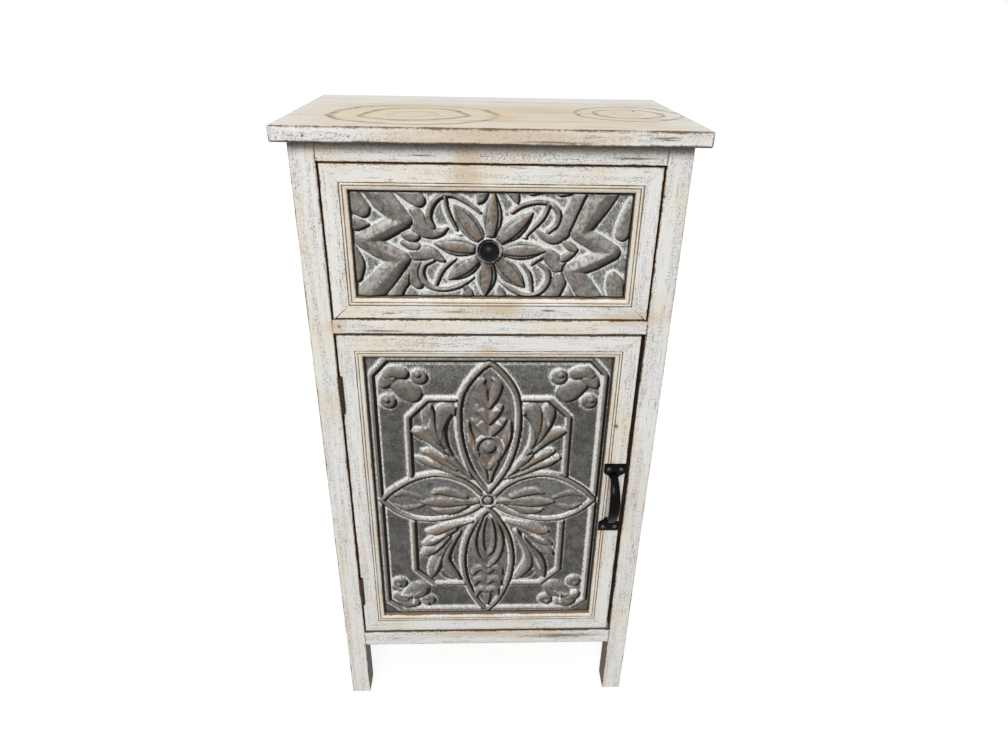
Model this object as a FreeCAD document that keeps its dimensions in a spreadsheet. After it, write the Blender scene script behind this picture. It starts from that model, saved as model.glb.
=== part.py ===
import FreeCAD, Part
import math
import os
import re
import Sketcher
from FreeCAD import Placement, Rotation, Vector

# Farmhouse cabinet: a painted pine case on four square legs, one inset drawer above one inset door, each with
# a mitred moulded frame around a sheet of pressed metal.
# Millimetres. +Z is up, +X is to the right and -Y is to the front. The origin is on the floor, in the middle
# of the box that the whole cabinet fills, pull included.

sizes = {
    # Case
    "body_width": 398,
    "body_depth": 258,
    "stile_width": 26,
    "front_leg_depth": 31,
    "rear_leg_depth": 26,
    "rail_thickness": 18,
    # Heights from the floor up
    "leg_clearance": 97.5,
    "bottom_rail_height": 24.5,
    "door_opening_height": 459.5,
    "mid_rail_height": 16.5,
    "drawer_opening_height": 167,
    "top_rail_height": 19.5,
    "top_thickness": 15.5,
    "top_overhang": 13.5,
    "top_corner_radius": 4,
    "top_arris_radius": 1.6,
    # Side and back panels, floor and shelf
    "side_panel_thickness": 5,
    "side_groove_depth": 6,
    "groove_play": 0.2,
    "back_panel_thickness": 3,
    "back_rabbet_width": 6,
    "floor_thickness": 6,
    "floor_cleat_width": 12,
    "floor_cleat_height": 10,
    "shelf_thickness": 10,
    "shelf_rise": 215,
    "shelf_play": 1,
    "shelf_pin_radius": 2.5,
    "shelf_pin_grip": 8,
    "shelf_pin_depth": 8,
    # Drawer runners, kickers and stops
    "runner_width": 20,
    "runner_height": 12,
    "guide_height": 12,
    "guide_play": 0.5,
    "slide_play": 0.3,
    "kicker_width": 20,
    "kicker_play": 2.5,
    "drawer_stop_length": 12,
    "stop_play": 0.5,
    # Door stop and magnetic catch
    "door_stop_depth": 12,
    "door_stop_lip": 10,
    "catch_width": 32,
    "catch_depth": 11.4,
    "catch_height": 12,
    "catch_inset": 34,
    "catch_screw_spacing": 20,
    "strike_radius": 5,
    "strike_thickness": 1.2,
    "spike_radius": 1.4,
    "spike_length": 8,
    # Mitred frames of the drawer front and the door
    "front_thickness": 17.5,
    "drawer_frame_width": 26.5,
    "door_frame_width": 27.5,
    "drawer_front_trim": 3,
    "moulding_width": 8.5,
    "quirk_width": 0.8,
    "quirk_depth": 0.8,
    "bead_width": 2.2,
    "cove_depth": 6.7,
    "rabbet_depth": 7.5,
    "rabbet_width": 7,
    "panel_play": 0.5,
    "backing_thickness": 4,
    # Gaps round the drawer front and the door
    "drawer_side_gap": 1.7,
    "drawer_top_gap": 1.5,
    "drawer_bottom_gap": 1.6,
    "door_hinge_gap": 2,
    "door_latch_gap": 4.5,
    "door_top_gap": 2,
    "door_bottom_gap": 3.5,
    # Drawer box
    "drawer_side_thickness": 10,
    "drawer_side_inset": 6,
    "drawer_back_thickness": 10,
    "drawer_bottom_thickness": 3,
    "drawer_bottom_rise": 6,
    "drawer_groove_depth": 4,
    # Pressed metal sheets
    "sheet_thickness": 0.6,
    "ridge_width": 3.2,
    "ridge_height": 2.4,
    "border_inset": 6,
    "border_chamfer": 17,
    "pattern_drop": 4,
    "inner_frame_inset_x": 46,
    "inner_frame_inset_z": 56,
    "inner_frame_chamfer": 24,
    "petal_start": 14,
    "tall_petal_length": 176,
    "tall_petal_half_width": 33,
    "wide_petal_length": 116,
    "wide_petal_half_width": 32,
    "leaf_relief": 3.2,
    "leaf_share": 0.72,
    "corner_leaf_turn": 55,
    "corner_leaf_start": 24,
    "corner_leaf_length": 92,
    "corner_leaf_half_width": 13,
    "boss_radius": 12,
    "boss_height": 3.6,
    "volute_radius": 6,
    "volute_near": 23.5,
    "volute_far": 59,
    "flower_turn": 4,
    "flower_inner_radius": 15,
    "flower_petal_length": 41,
    "flower_petal_half_width": 8.5,
    "flower_relief": 3.4,
    "knob_ring_radius": 14.5,
    "knob_ring_width": 2.6,
    "scroll_radius": 15,
    "scroll_shift": 6,
    "scroll_spread_x": 58,
    "scroll_spread_z": 31,
    "zigzag_width": 4,
    "zigzag_inner": 84,
    "zigzag_outer": 130,
    "zigzag_step": 25,
    # Hinges
    "hinge_length": 46,
    "hinge_inset": 75,
    "knuckle_radius": 2.4,
    "knuckle_gap": 0.3,
    "hinge_axis_inset": 2.5,
    "hinge_axis_proud": 1,
    "leaf_thickness": 0.8,
    "leaf_depth": 14.4,
    "hinge_relief": 0.5,
    "pin_radius": 1,
    "pin_play": 0.05,
    "pin_tip_radius": 2,
    "pin_tip_height": 1.2,
    # Knob and pull
    "knob_radius": 10.4,
    "knob_half_depth": 9.4,
    "knob_stem_radius": 3.8,
    "knob_reach": 23,
    "knob_foot_radius": 5.5,
    "knob_foot_height": 2,
    "knob_bore_depth": 12,
    "knob_screw_grip": 10,
    "knob_offset": 3,
    "pull_length": 103.5,
    "pull_width": 26.5,
    "pull_plate_height": 14,
    "pull_plate_thickness": 2.5,
    "pull_shoulder": 6,
    "pull_neck_width": 10,
    "pull_reach": 27,
    "pull_grip_width": 13.5,
    "pull_grip_thickness": 7,
    "pull_rise": 3.8,
    "pull_screw_spacing": 15,
    # Screws and nails
    "screw_play": 0.1,
    "pan_head_share": 0.7,
    "hinge_screw_radius": 1.2,
    "hinge_screw_head_radius": 2.4,
    "hinge_screw_length": 12,
    "hinge_screw_spacing": 26,
    "pull_screw_radius": 1.3,
    "pull_screw_head_radius": 2.5,
    "pull_screw_head_height": 1.3,
    "pull_screw_length": 9.3,
    "knob_screw_radius": 2,
    "knob_screw_head_radius": 4,
    "knob_screw_head_height": 2.4,
    "catch_screw_radius": 1.3,
    "catch_screw_head_radius": 2.6,
    "catch_screw_length": 18,
    "top_screw_radius": 2,
    "top_screw_head_radius": 4,
    "top_screw_length": 28,
    "top_screw_end_distance": 45,
    "nail_radius": 0.8,
    "nail_head_radius": 2,
    "nail_head_height": 0.6,
    "nail_length": 14,
    "nail_edge_distance": 10,
    # How far a cutting tool runs past what it cuts
    "cut_overrun": 5,
}

doc = FreeCAD.newDocument("farmhouse_cabinet")
sheet = doc.addObject("Spreadsheet::Sheet", "Sizes")
for row, (alias, number) in enumerate(sizes.items(), start=1):
    sheet.set(f"A{row}", alias)
    sheet.set(f"B{row}", str(number))
    sheet.setAlias(f"B{row}", alias)
doc.recompute()

nodes = []


def formula(text):
    """Turn the names of sizes in a formula into references to the sheet."""
    return re.sub(r"[a-z]+(?:_[a-z]+)+", lambda name: "Sizes." + name.group(0), text)


def bind(thing, **formulas):
    for name, text in formulas.items():
        thing.setExpression(name, formula(text))
    return thing


def place(thing, x="0", y="0", z="0", turn=Rotation()):
    thing.Placement = Placement(Vector(), turn)
    for axis, text in zip("xyz", (x, y, z)):
        thing.setExpression(f"Placement.Base.{axis}", formula(text))
    return thing


def keep(label, thing):
    """Register a finished sub-part under the name of its node."""
    thing.Label = label
    nodes.append(thing)
    return thing


def block(name, x, y, z):
    """A board between two planes along each axis, each given as a (low, high) pair of formulas."""
    solid = doc.addObject("Part::Box", name + "_block")
    for side, (low, high) in zip(("Length", "Width", "Height"), (x, y, z)):
        solid.setExpression(side, formula(f"({high}) - ({low})"))
    return place(solid, x[0], y[0], z[0])


turns = {
    "+x": Rotation(Vector(0, 1, 0), 90),
    "-x": Rotation(Vector(0, 1, 0), -90),
    "+y": Rotation(Vector(1, 0, 0), -90),
    "-y": Rotation(Vector(1, 0, 0), 90),
    "+z": Rotation(),
    "-z": Rotation(Vector(1, 0, 0), 180),
}


def rod(name, start, way, radius, length):
    solid = doc.addObject("Part::Cylinder", name + "_rod")
    bind(solid, Radius=radius, Height=length)
    return place(solid, *start, turns[way])


def cone(name, start, way, first_radius, last_radius, length):
    solid = doc.addObject("Part::Cone", name + "_cone")
    bind(solid, Radius1=first_radius, Radius2=last_radius, Height=length)
    return place(solid, *start, turns[way])


def fuse(name, solids):
    joined = doc.addObject("Part::MultiFuse", name + "_fuse")
    joined.Shapes = list(solids)
    return joined


def common(name, solids):
    shared = doc.addObject("Part::MultiCommon", name + "_common")
    shared.Shapes = list(solids)
    return shared


def cut(name, base, tools):
    """Take a list of tools out of a solid."""
    result = doc.addObject("Part::Cut", name + "_cut")
    result.Base = base
    result.Tool = tools[0] if len(tools) == 1 else fuse(name + "_tools", tools)
    return result


def group(name, solids):
    """Identical pieces that share one node as separate solids."""
    compound = doc.addObject("Part::Compound", name + "_group")
    compound.Links = list(solids)
    return compound


def sketch_on(body, role, name, loops):
    """A sketch on one of the body's own planes; each loop is a list of (x, y) formulas for its corners."""
    sketch = body.newObject("Sketcher::SketchObject", name)
    plane = next(item for item in body.Origin.OriginFeatures if item.Role == role)
    sketch.AttachmentSupport = (plane, "")
    sketch.MapMode = "FlatFace"
    for loop in loops:
        count = len(loop)
        first = sketch.GeometryCount
        angles = [math.tau * i / count for i in range(count)]
        rough = [Vector(math.cos(angle), math.sin(angle), 0) for angle in angles]
        for i in range(count):
            sketch.addGeometry(Part.LineSegment(rough[i], rough[(i + 1) % count]), False)
        for i in range(count):
            sketch.addConstraint(Sketcher.Constraint("Coincident", first + i, 2, first + (i + 1) % count, 1))
        for i, corner in enumerate(loop):
            for kind, guess, text in zip(("DistanceX", "DistanceY"), rough[i], corner):
                index = sketch.addConstraint(Sketcher.Constraint(kind, -1, 1, first + i, 1, guess))
                sketch.setExpression(f"Constraints[{index}]", formula(text))
    return sketch


def new_body(name):
    return doc.addObject("PartDesign::Body", name + "_body")


def pad(body, name, profile, length, towards_back=False):
    feature = body.newObject("PartDesign::Pad", name)
    feature.Profile = profile
    feature.Reversed = towards_back
    bind(feature, Length=length)
    return feature


def both_sides(sign, low, high):
    """The span of a piece on the right (sign 1) or its mirror image on the left (sign -1)."""
    return (low, high) if sign > 0 else (f"-({high})", f"-({low})")


sides = (("left", -1), ("right", 1))

# Planes that several pieces share
front = "((pull_reach - body_depth) / 2)"
back = "((pull_reach + body_depth) / 2)"
outer = "(body_width / 2)"
leg_inner = "(body_width / 2 - stile_width)"
rail_back = f"({front} + rail_thickness)"
front_leg_back = f"({front} + front_leg_depth)"
rear_leg_front = f"({back} - rear_leg_depth)"
back_panel_face = f"({back} - back_panel_thickness)"
rear_rail_front = f"({back_panel_face} - rail_thickness)"
side_rail_inner = "(body_width / 2 - rail_thickness)"
floor_top = "(leg_clearance + bottom_rail_height)"
door_head = f"({floor_top} + door_opening_height)"
drawer_sill = f"({door_head} + mid_rail_height)"
drawer_head = f"({drawer_sill} + drawer_opening_height)"
case_top = f"({drawer_head} + top_rail_height)"
stop_back = f"({rail_back} + door_stop_depth)"

# Door and drawer front, seen from the front
door_left = f"(door_hinge_gap - {leg_inner})"
door_right = f"({leg_inner} - door_latch_gap)"
door_bottom = f"({floor_top} + door_bottom_gap)"
door_top = f"({door_head} - door_top_gap)"
drawer_right = f"({leg_inner} - drawer_side_gap)"
drawer_bottom = f"({drawer_sill} + drawer_bottom_gap)"
drawer_top = f"({drawer_head} - drawer_top_gap)"
drawer_low_rail = "(drawer_frame_width - drawer_front_trim)"
fronts_back = f"({front} + front_thickness)"
sheet_face = f"({front} + rabbet_depth)"
backing_face = f"({sheet_face} + sheet_thickness)"
backing_back = f"({backing_face} + backing_thickness)"

# Openings that show the metal sheets, as (left, right) and (bottom, top)
door_sight_x = (f"({door_left} + door_frame_width)", f"({door_right} - door_frame_width)")
door_sight_z = (f"({door_bottom} + door_frame_width)", f"({door_top} - door_frame_width)")
drawer_sight_x = (f"(drawer_frame_width - {drawer_right})", f"({drawer_right} - drawer_frame_width)")
drawer_sight_z = (f"({drawer_bottom} + {drawer_low_rail})", f"({drawer_top} - drawer_frame_width)")


def middle(span):
    return f"(({span[0]} + {span[1]}) / 2)"


def tuck(span):
    """A panel's span: its sight opening and what the rabbets hold on both sides."""
    return (f"({span[0]} - rabbet_width + panel_play)", f"({span[1]} + rabbet_width - panel_play)")


def screw(name, seat, way, radius, head_radius, length, sunk=True, head_height=None):
    """A screw from its seat into the wood, with its head sunk in a cone or standing on the seat."""
    head_height = head_height or f"({head_radius} - {radius})"
    shank = rod(name, seat, way, radius, length)
    if sunk:
        head = cone(name + "_head", seat, way, head_radius, radius, head_height)
    else:
        back_way = ("-" if way[0] == "+" else "+") + way[1]
        crown_radius = f"{head_radius} * pan_head_share"
        head = cone(name + "_head", seat, back_way, head_radius, crown_radius, head_height)
    return fuse(name, [shank, head])


def screw_and_hole(name, seat, way, radius, head_radius, length, sunk=True, head_height=None):
    """The screw, and the slightly wider tool that cuts its hole."""
    solid = screw(name, seat, way, radius, head_radius, length, sunk, head_height)
    wide = f"({radius} + screw_play)"
    if sunk:
        hole = screw(name + "_hole", seat, way, wide, f"({head_radius} + screw_play)", length)
    else:
        hole = rod(name + "_hole", seat, way, wide, length)
    return solid, hole


# Hinge line, and what each hinge cuts and carries
hinge_x = f"(hinge_axis_inset - {leg_inner})"
hinge_y = f"({front} - hinge_axis_proud)"
hinge_middles = {"upper": f"({door_top} - hinge_inset)", "lower": f"({door_bottom} + hinge_inset)"}
leaf_front = f"({hinge_y} + knuckle_radius + hinge_relief)"
leaf_middle = f"({leaf_front} + leaf_depth / 2)"
frame_leaf_x = (f"-{leg_inner}", f"(leaf_thickness - {leg_inner})")
door_leaf_x = (f"({door_left} - leaf_thickness)", door_left)
frame_screws, frame_holes, door_screws, door_holes = [], [], [], []
for position, hinge_middle in hinge_middles.items():
    for number, half in enumerate(("-", "+"), start=1):
        height = f"({hinge_middle} {half} hinge_screw_spacing / 2)"
        for owner, seat_x, way, screws, holes in (
            ("frame", frame_leaf_x[1], "-x", frame_screws, frame_holes),
            ("door", door_leaf_x[0], "+x", door_screws, door_holes),
        ):
            solid, hole = screw_and_hole(
                f"hinge_{owner}_screw_{position}_{number}", (seat_x, leaf_middle, height), way,
                "hinge_screw_radius", "hinge_screw_head_radius", "hinge_screw_length")
            screws.append(solid)
            holes.append(hole)
keep("hinge_frame_screws", group("hinge_frame_screws", frame_screws))
keep("hinge_door_screws", group("hinge_door_screws", door_screws))

# Legs, with grooves for the side panels, and rabbets at the back for the back panel
panel_outer = f"({outer} - (rail_thickness - side_panel_thickness) / 2)"
panel_inner = f"({panel_outer} - side_panel_thickness)"
panel_low = f"({floor_top} - side_groove_depth)"
panel_high = f"({drawer_head} + side_groove_depth)"
panel_y = (f"({front_leg_back} - side_groove_depth)", f"({rear_leg_front} + side_groove_depth)")
pin_height = f"({floor_top} + shelf_rise - shelf_pin_radius)"
pin_rows = {
    "front": f"(({rail_back} + {front_leg_back}) / 2)",
    "rear": f"(({rear_leg_front} + {back_panel_face}) / 2)",
}
shelf_pins = []
for side, sign in sides:
    panel_x = both_sides(sign, panel_inner, panel_outer)
    keep("side_panel_" + side, block("side_panel_" + side, panel_x, panel_y, (panel_low, panel_high)))
    groove_x = both_sides(sign, f"({panel_inner} - groove_play / 2)", f"({panel_outer} + groove_play / 2)")
    groove = block("side_groove_" + side, groove_x, panel_y, (panel_low, panel_high))
    for row, y in pin_rows.items():
        pin_way = "+x" if sign > 0 else "-x"
        pin_x = both_sides(sign, f"({leg_inner} - shelf_pin_grip)", leg_inner)[0 if sign > 0 else 1]
        hole_x = both_sides(sign, leg_inner, leg_inner)[0]
        leg_name = f"{row}_leg_{side}"
        pin = rod("shelf_pin_" + leg_name, (pin_x, y, pin_height), pin_way,
                  "shelf_pin_radius", "shelf_pin_grip + shelf_pin_depth")
        shelf_pins.append(pin)
        pin_hole = rod("shelf_pin_hole_" + leg_name, (hole_x, y, pin_height), pin_way,
                       "shelf_pin_radius + screw_play", "shelf_pin_depth")
        leg_y = (front, front_leg_back) if row == "front" else (rear_leg_front, back)
        leg = block(leg_name, both_sides(sign, leg_inner, outer), leg_y, ("0", case_top))
        cuts = [groove, pin_hole]
        if row == "rear":
            rabbet_x = both_sides(sign, leg_inner, f"({leg_inner} + back_rabbet_width)")
            rabbet_z = ("leg_clearance", case_top)
            cuts.append(block("back_rabbet_" + side, rabbet_x, (back_panel_face, back), rabbet_z))
        if leg_name == "front_leg_left":
            cuts += frame_holes
        keep(leg_name, cut(leg_name, leg, cuts))
    for level, z in (("bottom", ("leg_clearance", floor_top)), ("top", (drawer_head, case_top))):
        rail_name = f"side_rail_{level}_{side}"
        rail = block(rail_name, both_sides(sign, side_rail_inner, outer), (front_leg_back, rear_leg_front), z)
        keep(rail_name, cut(rail_name, rail, [groove]))
keep("shelf_pins", group("shelf_pins", shelf_pins))

# Front and rear rails
between_legs = (f"-{leg_inner}", leg_inner)
for name, z in (("bottom_rail", ("leg_clearance", floor_top)), ("mid_rail", (door_head, drawer_sill)),
                ("top_rail", (drawer_head, case_top))):
    keep(name, block(name, between_legs, (front, rail_back), z))

# Back panel, nailed to the rear rails and legs
back_x = (f"(-{leg_inner} - back_rabbet_width)", f"({leg_inner} + back_rabbet_width)")
nails, nail_holes = [], {"top": [], "bottom": []}
nail_rows = {
    "bottom": "(leg_clearance + nail_edge_distance)",
    "top": f"({case_top} - nail_edge_distance)",
}
nail_columns = {
    "left": f"(nail_edge_distance - {leg_inner})",
    "centre": "0",
    "right": f"({leg_inner} - nail_edge_distance)",
}
for level, z in nail_rows.items():
    for column, x in nail_columns.items():
        nail, hole = screw_and_hole(
            f"back_nail_{level}_{column}", (x, back, z), "-y", "nail_radius", "nail_head_radius",
            "nail_length", True, "nail_head_height")
        nails.append(nail)
        nail_holes[level].append(hole)
back_panel = block("back_panel", back_x, (back_panel_face, back), ("leg_clearance", case_top))
keep("back_panel", cut("back_panel", back_panel, nail_holes["top"] + nail_holes["bottom"]))
keep("back_panel_nails", group("back_panel_nails", nails))
for level, z in (("bottom", ("leg_clearance", floor_top)), ("top", (drawer_head, case_top))):
    rail_name = "rear_rail_" + level
    rail = block(rail_name, between_legs, (rear_rail_front, back_panel_face), z)
    keep(rail_name, cut(rail_name, rail, nail_holes[level]))

# Floor of the case on its two cleats, notched round the legs
floor_low = f"({floor_top} - floor_thickness)"
floor_board = block("cabinet_floor", (f"-{side_rail_inner}", side_rail_inner), (rail_back, rear_rail_front),
                    (floor_low, floor_top))
notches = []
for side, sign in sides:
    notch_x = both_sides(sign, leg_inner, f"({side_rail_inner} + cut_overrun)")
    notch_z = (f"{floor_low} - cut_overrun", f"{floor_top} + cut_overrun")
    front_notch_y = (f"({rail_back} - cut_overrun)", front_leg_back)
    rear_notch_y = (rear_leg_front, f"({rear_rail_front} + cut_overrun)")
    notches.append(block("front_notch_" + side, notch_x, front_notch_y, notch_z))
    notches.append(block("rear_notch_" + side, notch_x, rear_notch_y, notch_z))
    cleat_x = both_sides(sign, f"({side_rail_inner} - floor_cleat_width)", side_rail_inner)
    cleat_y = (front_leg_back, rear_leg_front)
    cleat_z = (f"{floor_low} - floor_cleat_height", floor_low)
    keep("floor_cleat_" + side, block("floor_cleat_" + side, cleat_x, cleat_y, cleat_z))
keep("cabinet_floor", cut("cabinet_floor", floor_board, notches))

# Shelf on its four pins
shelf_x = (f"(shelf_play - {leg_inner})", f"({leg_inner} - shelf_play)")
shelf_y = (f"{rail_back} + shelf_play", f"{back_panel_face} - shelf_play")
shelf_z = (f"({floor_top} + shelf_rise)", f"({floor_top} + shelf_rise + shelf_thickness)")
keep("shelf", block("shelf", shelf_x, shelf_y, shelf_z))

# Door stop behind the mid rail, with the magnetic catch under it
catch_x = f"({door_right} - catch_inset - catch_width / 2)"
catch_front = f"({fronts_back} + strike_thickness + stop_play)"
catch_top = f"({door_head} - door_stop_lip)"
catch_screws, catch_holes = [], []
for number, half in enumerate(("-", "+"), start=1):
    seat = (f"({catch_x} {half} catch_screw_spacing / 2)", f"({catch_front} + catch_depth / 2)",
            f"({catch_top} - catch_height)")
    solid, hole = screw_and_hole(f"catch_screw_{number}", seat, "+z", "catch_screw_radius",
                                 "catch_screw_head_radius", "catch_screw_length")
    catch_screws.append(solid)
    catch_holes.append(hole)
keep("catch_screws", group("catch_screws", catch_screws))
stop = block("door_stop", between_legs, (rail_back, stop_back), (catch_top, drawer_sill))
keep("door_stop", cut("door_stop", stop, catch_holes))
catch = block("magnetic_catch", (f"{catch_x} - catch_width / 2", f"{catch_x} + catch_width / 2"),
              (catch_front, f"{catch_front} + catch_depth"), (f"{catch_top} - catch_height", catch_top))
keep("magnetic_catch", cut("magnetic_catch", catch, catch_holes))

# Drawer runners with their side guides, kickers above the drawer, and the two stops behind it
drawer_side_outer = f"({leg_inner} - drawer_side_inset)"
drawer_side_inner = f"({drawer_side_outer} - drawer_side_thickness)"
drawer_end = f"({back_panel_face} - drawer_stop_length - stop_play)"
guide_inner = f"({drawer_side_outer} + guide_play)"
runner_inner = f"({leg_inner} - runner_width)"
guide_top = f"({drawer_sill} + guide_height)"
runner_y = (stop_back, back_panel_face)
drawer_stops, top_screws, top_holes = [], [], []
for side, sign in sides:
    ledge_z = (f"{drawer_sill} - runner_height", drawer_sill)
    ledge = block("runner_ledge_" + side, both_sides(sign, runner_inner, leg_inner), runner_y, ledge_z)
    guide_z = (drawer_sill, guide_top)
    guide = block("runner_guide_" + side, both_sides(sign, guide_inner, leg_inner), runner_y, guide_z)
    keep("drawer_runner_" + side, fuse("drawer_runner_" + side, [ledge, guide]))
    stop_y = (f"({back_panel_face} - drawer_stop_length)", back_panel_face)
    drawer_stops.append(block("drawer_stop_" + side, both_sides(sign, runner_inner, guide_inner), stop_y,
                              (drawer_sill, guide_top)))
    kicker_x = both_sides(sign, f"({leg_inner} - kicker_width)", leg_inner)
    kicker = block("drawer_kicker_" + side, kicker_x, (rail_back, rear_rail_front), (drawer_head, case_top))
    kicker_holes = []
    for end, y in (("front", f"({rail_back} + top_screw_end_distance)"),
                   ("rear", f"({rear_rail_front} - top_screw_end_distance)")):
        seat = (f"{sign} * ({leg_inner} - kicker_width / 2)", y, drawer_head)
        solid, hole = screw_and_hole(f"top_screw_{end}_{side}", seat, "+z", "top_screw_radius",
                                     "top_screw_head_radius", "top_screw_length")
        top_screws.append(solid)
        kicker_holes.append(hole)
    top_holes += kicker_holes
    keep("drawer_kicker_" + side, cut("drawer_kicker_" + side, kicker, kicker_holes))
keep("drawer_stops", group("drawer_stops", drawer_stops))
keep("top_screws", group("top_screws", top_screws))

# Top board, with rounded corners and worn arrises
top_body = new_body("top_board")
top_half = f"({outer} + top_overhang)"
top_front = f"({front} - top_overhang)"
outline = sketch_on(top_body, "XY_Plane", "top_outline", [
    [(f"-{top_half}", top_front), (top_half, top_front), (top_half, back), (f"-{top_half}", back)]])
top_slab = pad(top_body, "top_slab", outline, "top_thickness")
doc.recompute()
upright = [f"Edge{i}" for i, edge in enumerate(top_slab.Shape.Edges, start=1)
           if abs(edge.tangentAt(edge.FirstParameter).z) > 0.5]
corners = top_body.newObject("PartDesign::Fillet", "top_corners")
corners.Base = (top_slab, upright)
bind(corners, Radius="top_corner_radius")
doc.recompute()
flat = [f"Face{i}" for i, face in enumerate(corners.Shape.Faces, start=1) if abs(face.normalAt(0, 0).z) > 0.5]
arrises = top_body.newObject("PartDesign::Fillet", "top_arrises")
arrises.Base = (corners, flat)
bind(arrises, Radius="top_arris_radius")
place(top_body, z=case_top)
keep("top_board", cut("top_board", top_body, top_holes))


def frame_member(name, width, length, corner, angle, edge_trim="0", near_trim="0", far_trim="0"):
    """One mitred side of a moulded frame. Its own X runs from the outer edge to the sight edge, Y to the back
    and Z along the member. The trims are what is planed off the frame's lower edge after it is joined."""
    body = new_body(name)
    moulding = f"({width} - moulding_width)"
    bead = f"({moulding} + quirk_width)"
    groove = f"({bead} + bead_width)"
    slope = f"({groove} + quirk_width)"
    rabbet = f"({width} - rabbet_width)"
    profile = [
        (edge_trim, "0"), (moulding, "0"), (moulding, "quirk_depth"), (bead, "quirk_depth"), (bead, "0"),
        (groove, "0"), (groove, "quirk_depth"), (slope, "quirk_depth"), (width, "cove_depth"),
        (width, "rabbet_depth"), (rabbet, "rabbet_depth"), (rabbet, "front_thickness"),
        (edge_trim, "front_thickness"),
    ]
    stick = pad(body, name + "_stick", sketch_on(body, "XY_Plane", name + "_profile", [profile]), length)
    past = f"({width} + cut_overrun)"
    before = "-cut_overrun"
    after = f"({length} + cut_overrun)"
    far_end = f"({length} - {far_trim})"
    far_past = f"({length} - {past})"
    wedges = [
        [(before, before), (past, before), (past, past), (near_trim, near_trim), (before, near_trim)],
        [(before, after), (before, far_end), (far_trim, far_end), (past, far_past), (past, after)],
    ]
    mitres = body.newObject("PartDesign::Pocket", name + "_mitres")
    mitres.Profile = sketch_on(body, "XZ_Plane", name + "_mitre_lines", wedges)
    mitres.Type = "ThroughAll"
    doc.recompute()
    if mitres.Shape.Volume >= stick.Shape.Volume:
        raise RuntimeError(name + " has no mitres")
    return place(body, corner[0], front, corner[1], Rotation(Vector(0, 1, 0), angle))


def frame(prefix, names, width, x, z, trim, cuts):
    """The four members of a frame, in the order left, right, bottom and top."""
    low = f"({z[0]} - {trim})"
    height = f"({z[1]} - {low})"
    breadth = f"({x[1]} - {x[0]})"
    members = (
        frame_member(prefix + names[0], width, height, (x[0], low), 0, near_trim=trim),
        frame_member(prefix + names[1], width, height, (x[1], z[1]), 180, far_trim=trim),
        frame_member(prefix + names[2], width, breadth, (x[1], low), -90, edge_trim=trim),
        frame_member(prefix + names[3], width, breadth, (x[0], z[1]), 90),
    )
    for name, member in zip(names, members):
        node = prefix + name
        keep(node, cut(node, member, cuts[name]) if name in cuts else member)


# Pull: two plates and a bowed grip, held by four small screws
pull_x = f"({door_right} - door_frame_width / 2)"
pull_z = f"(({door_bottom} + {door_top}) / 2 + pull_rise)"
plate_face = f"({front} - pull_plate_thickness)"
plates = []
pull_screws, pull_holes = [], []
for end, angle, sign in (("upper", 0, "+"), ("lower", 180, "-")):
    plate_body = new_body("pull_plate_" + end)
    shoulder = "(-pull_plate_height - pull_shoulder)"
    corners = [
        ("-pull_width / 2", "0"),
        ("-pull_width / 2", "-pull_plate_height"),
        ("-pull_neck_width / 2", shoulder),
        ("pull_neck_width / 2", shoulder),
        ("pull_width / 2", "-pull_plate_height"),
        ("pull_width / 2", "0"),
    ]
    outline = sketch_on(plate_body, "XZ_Plane", "pull_plate_outline_" + end, [corners])
    pad(plate_body, "pull_plate_pad_" + end, outline, "pull_plate_thickness")
    place(plate_body, pull_x, front, f"{pull_z} {sign} pull_length / 2", Rotation(Vector(0, 1, 0), angle))
    plates.append(plate_body)
    for column, half in enumerate(("-", "+"), start=1):
        seat = (f"{pull_x} {half} pull_screw_spacing / 2", plate_face,
                f"{pull_z} {sign} (pull_length - pull_plate_height) / 2")
        solid, hole = screw_and_hole(f"pull_screw_{end}_{column}", seat, "+y", "pull_screw_radius",
                                     "pull_screw_head_radius", "pull_screw_length", False,
                                     "pull_screw_head_height")
        pull_screws.append(solid)
        pull_holes.append(hole)
keep("pull_screws", group("pull_screws", pull_screws))

# Grip of the pull: a bowed bar, widest in the middle
grip_half = "(pull_length / 2 - pull_plate_height)"
grip_inner_half = f"({grip_half} - pull_shoulder)"
grip_inner_reach = "(pull_reach - pull_grip_thickness)"
bow = f"(({grip_half} ^ 2 + pull_reach ^ 2) / (2 * pull_reach))"
inner_bow = f"(({grip_inner_half} ^ 2 + {grip_inner_reach} ^ 2) / (2 * {grip_inner_reach}))"
swell = "((pull_grip_width - pull_neck_width) / 2)"
side_bow = f"(({grip_half} ^ 2 + {swell} ^ 2) / (2 * {swell}))"
grip_left = f"({pull_x} - pull_grip_width / 2)"
grip_start = f"({front} - pull_reach)"
bowed = rod("pull_bow", (grip_left, f"{grip_start} + {bow}", pull_z), "+x", bow, "pull_grip_width")
hollow_y = f"({grip_start} + pull_grip_thickness + {inner_bow})"
hollow = rod("pull_hollow", (f"{grip_left} - cut_overrun", hollow_y, pull_z), "+x", inner_bow,
             "pull_grip_width + 2 * cut_overrun")
swells = []
for name, half in (("right", "-"), ("left", "+")):
    swell_x = f"({pull_x} {half} ({side_bow} - pull_grip_width / 2))"
    swells.append(rod("pull_swell_" + name, (swell_x, front, pull_z), "-y", side_bow, "pull_reach"))
grip = common("pull_grip", [cut("pull_ring", bowed, [hollow])] + swells)
keep("pull_handle", cut("pull_handle", fuse("pull_handle_body", plates + [grip]), pull_holes))

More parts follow.
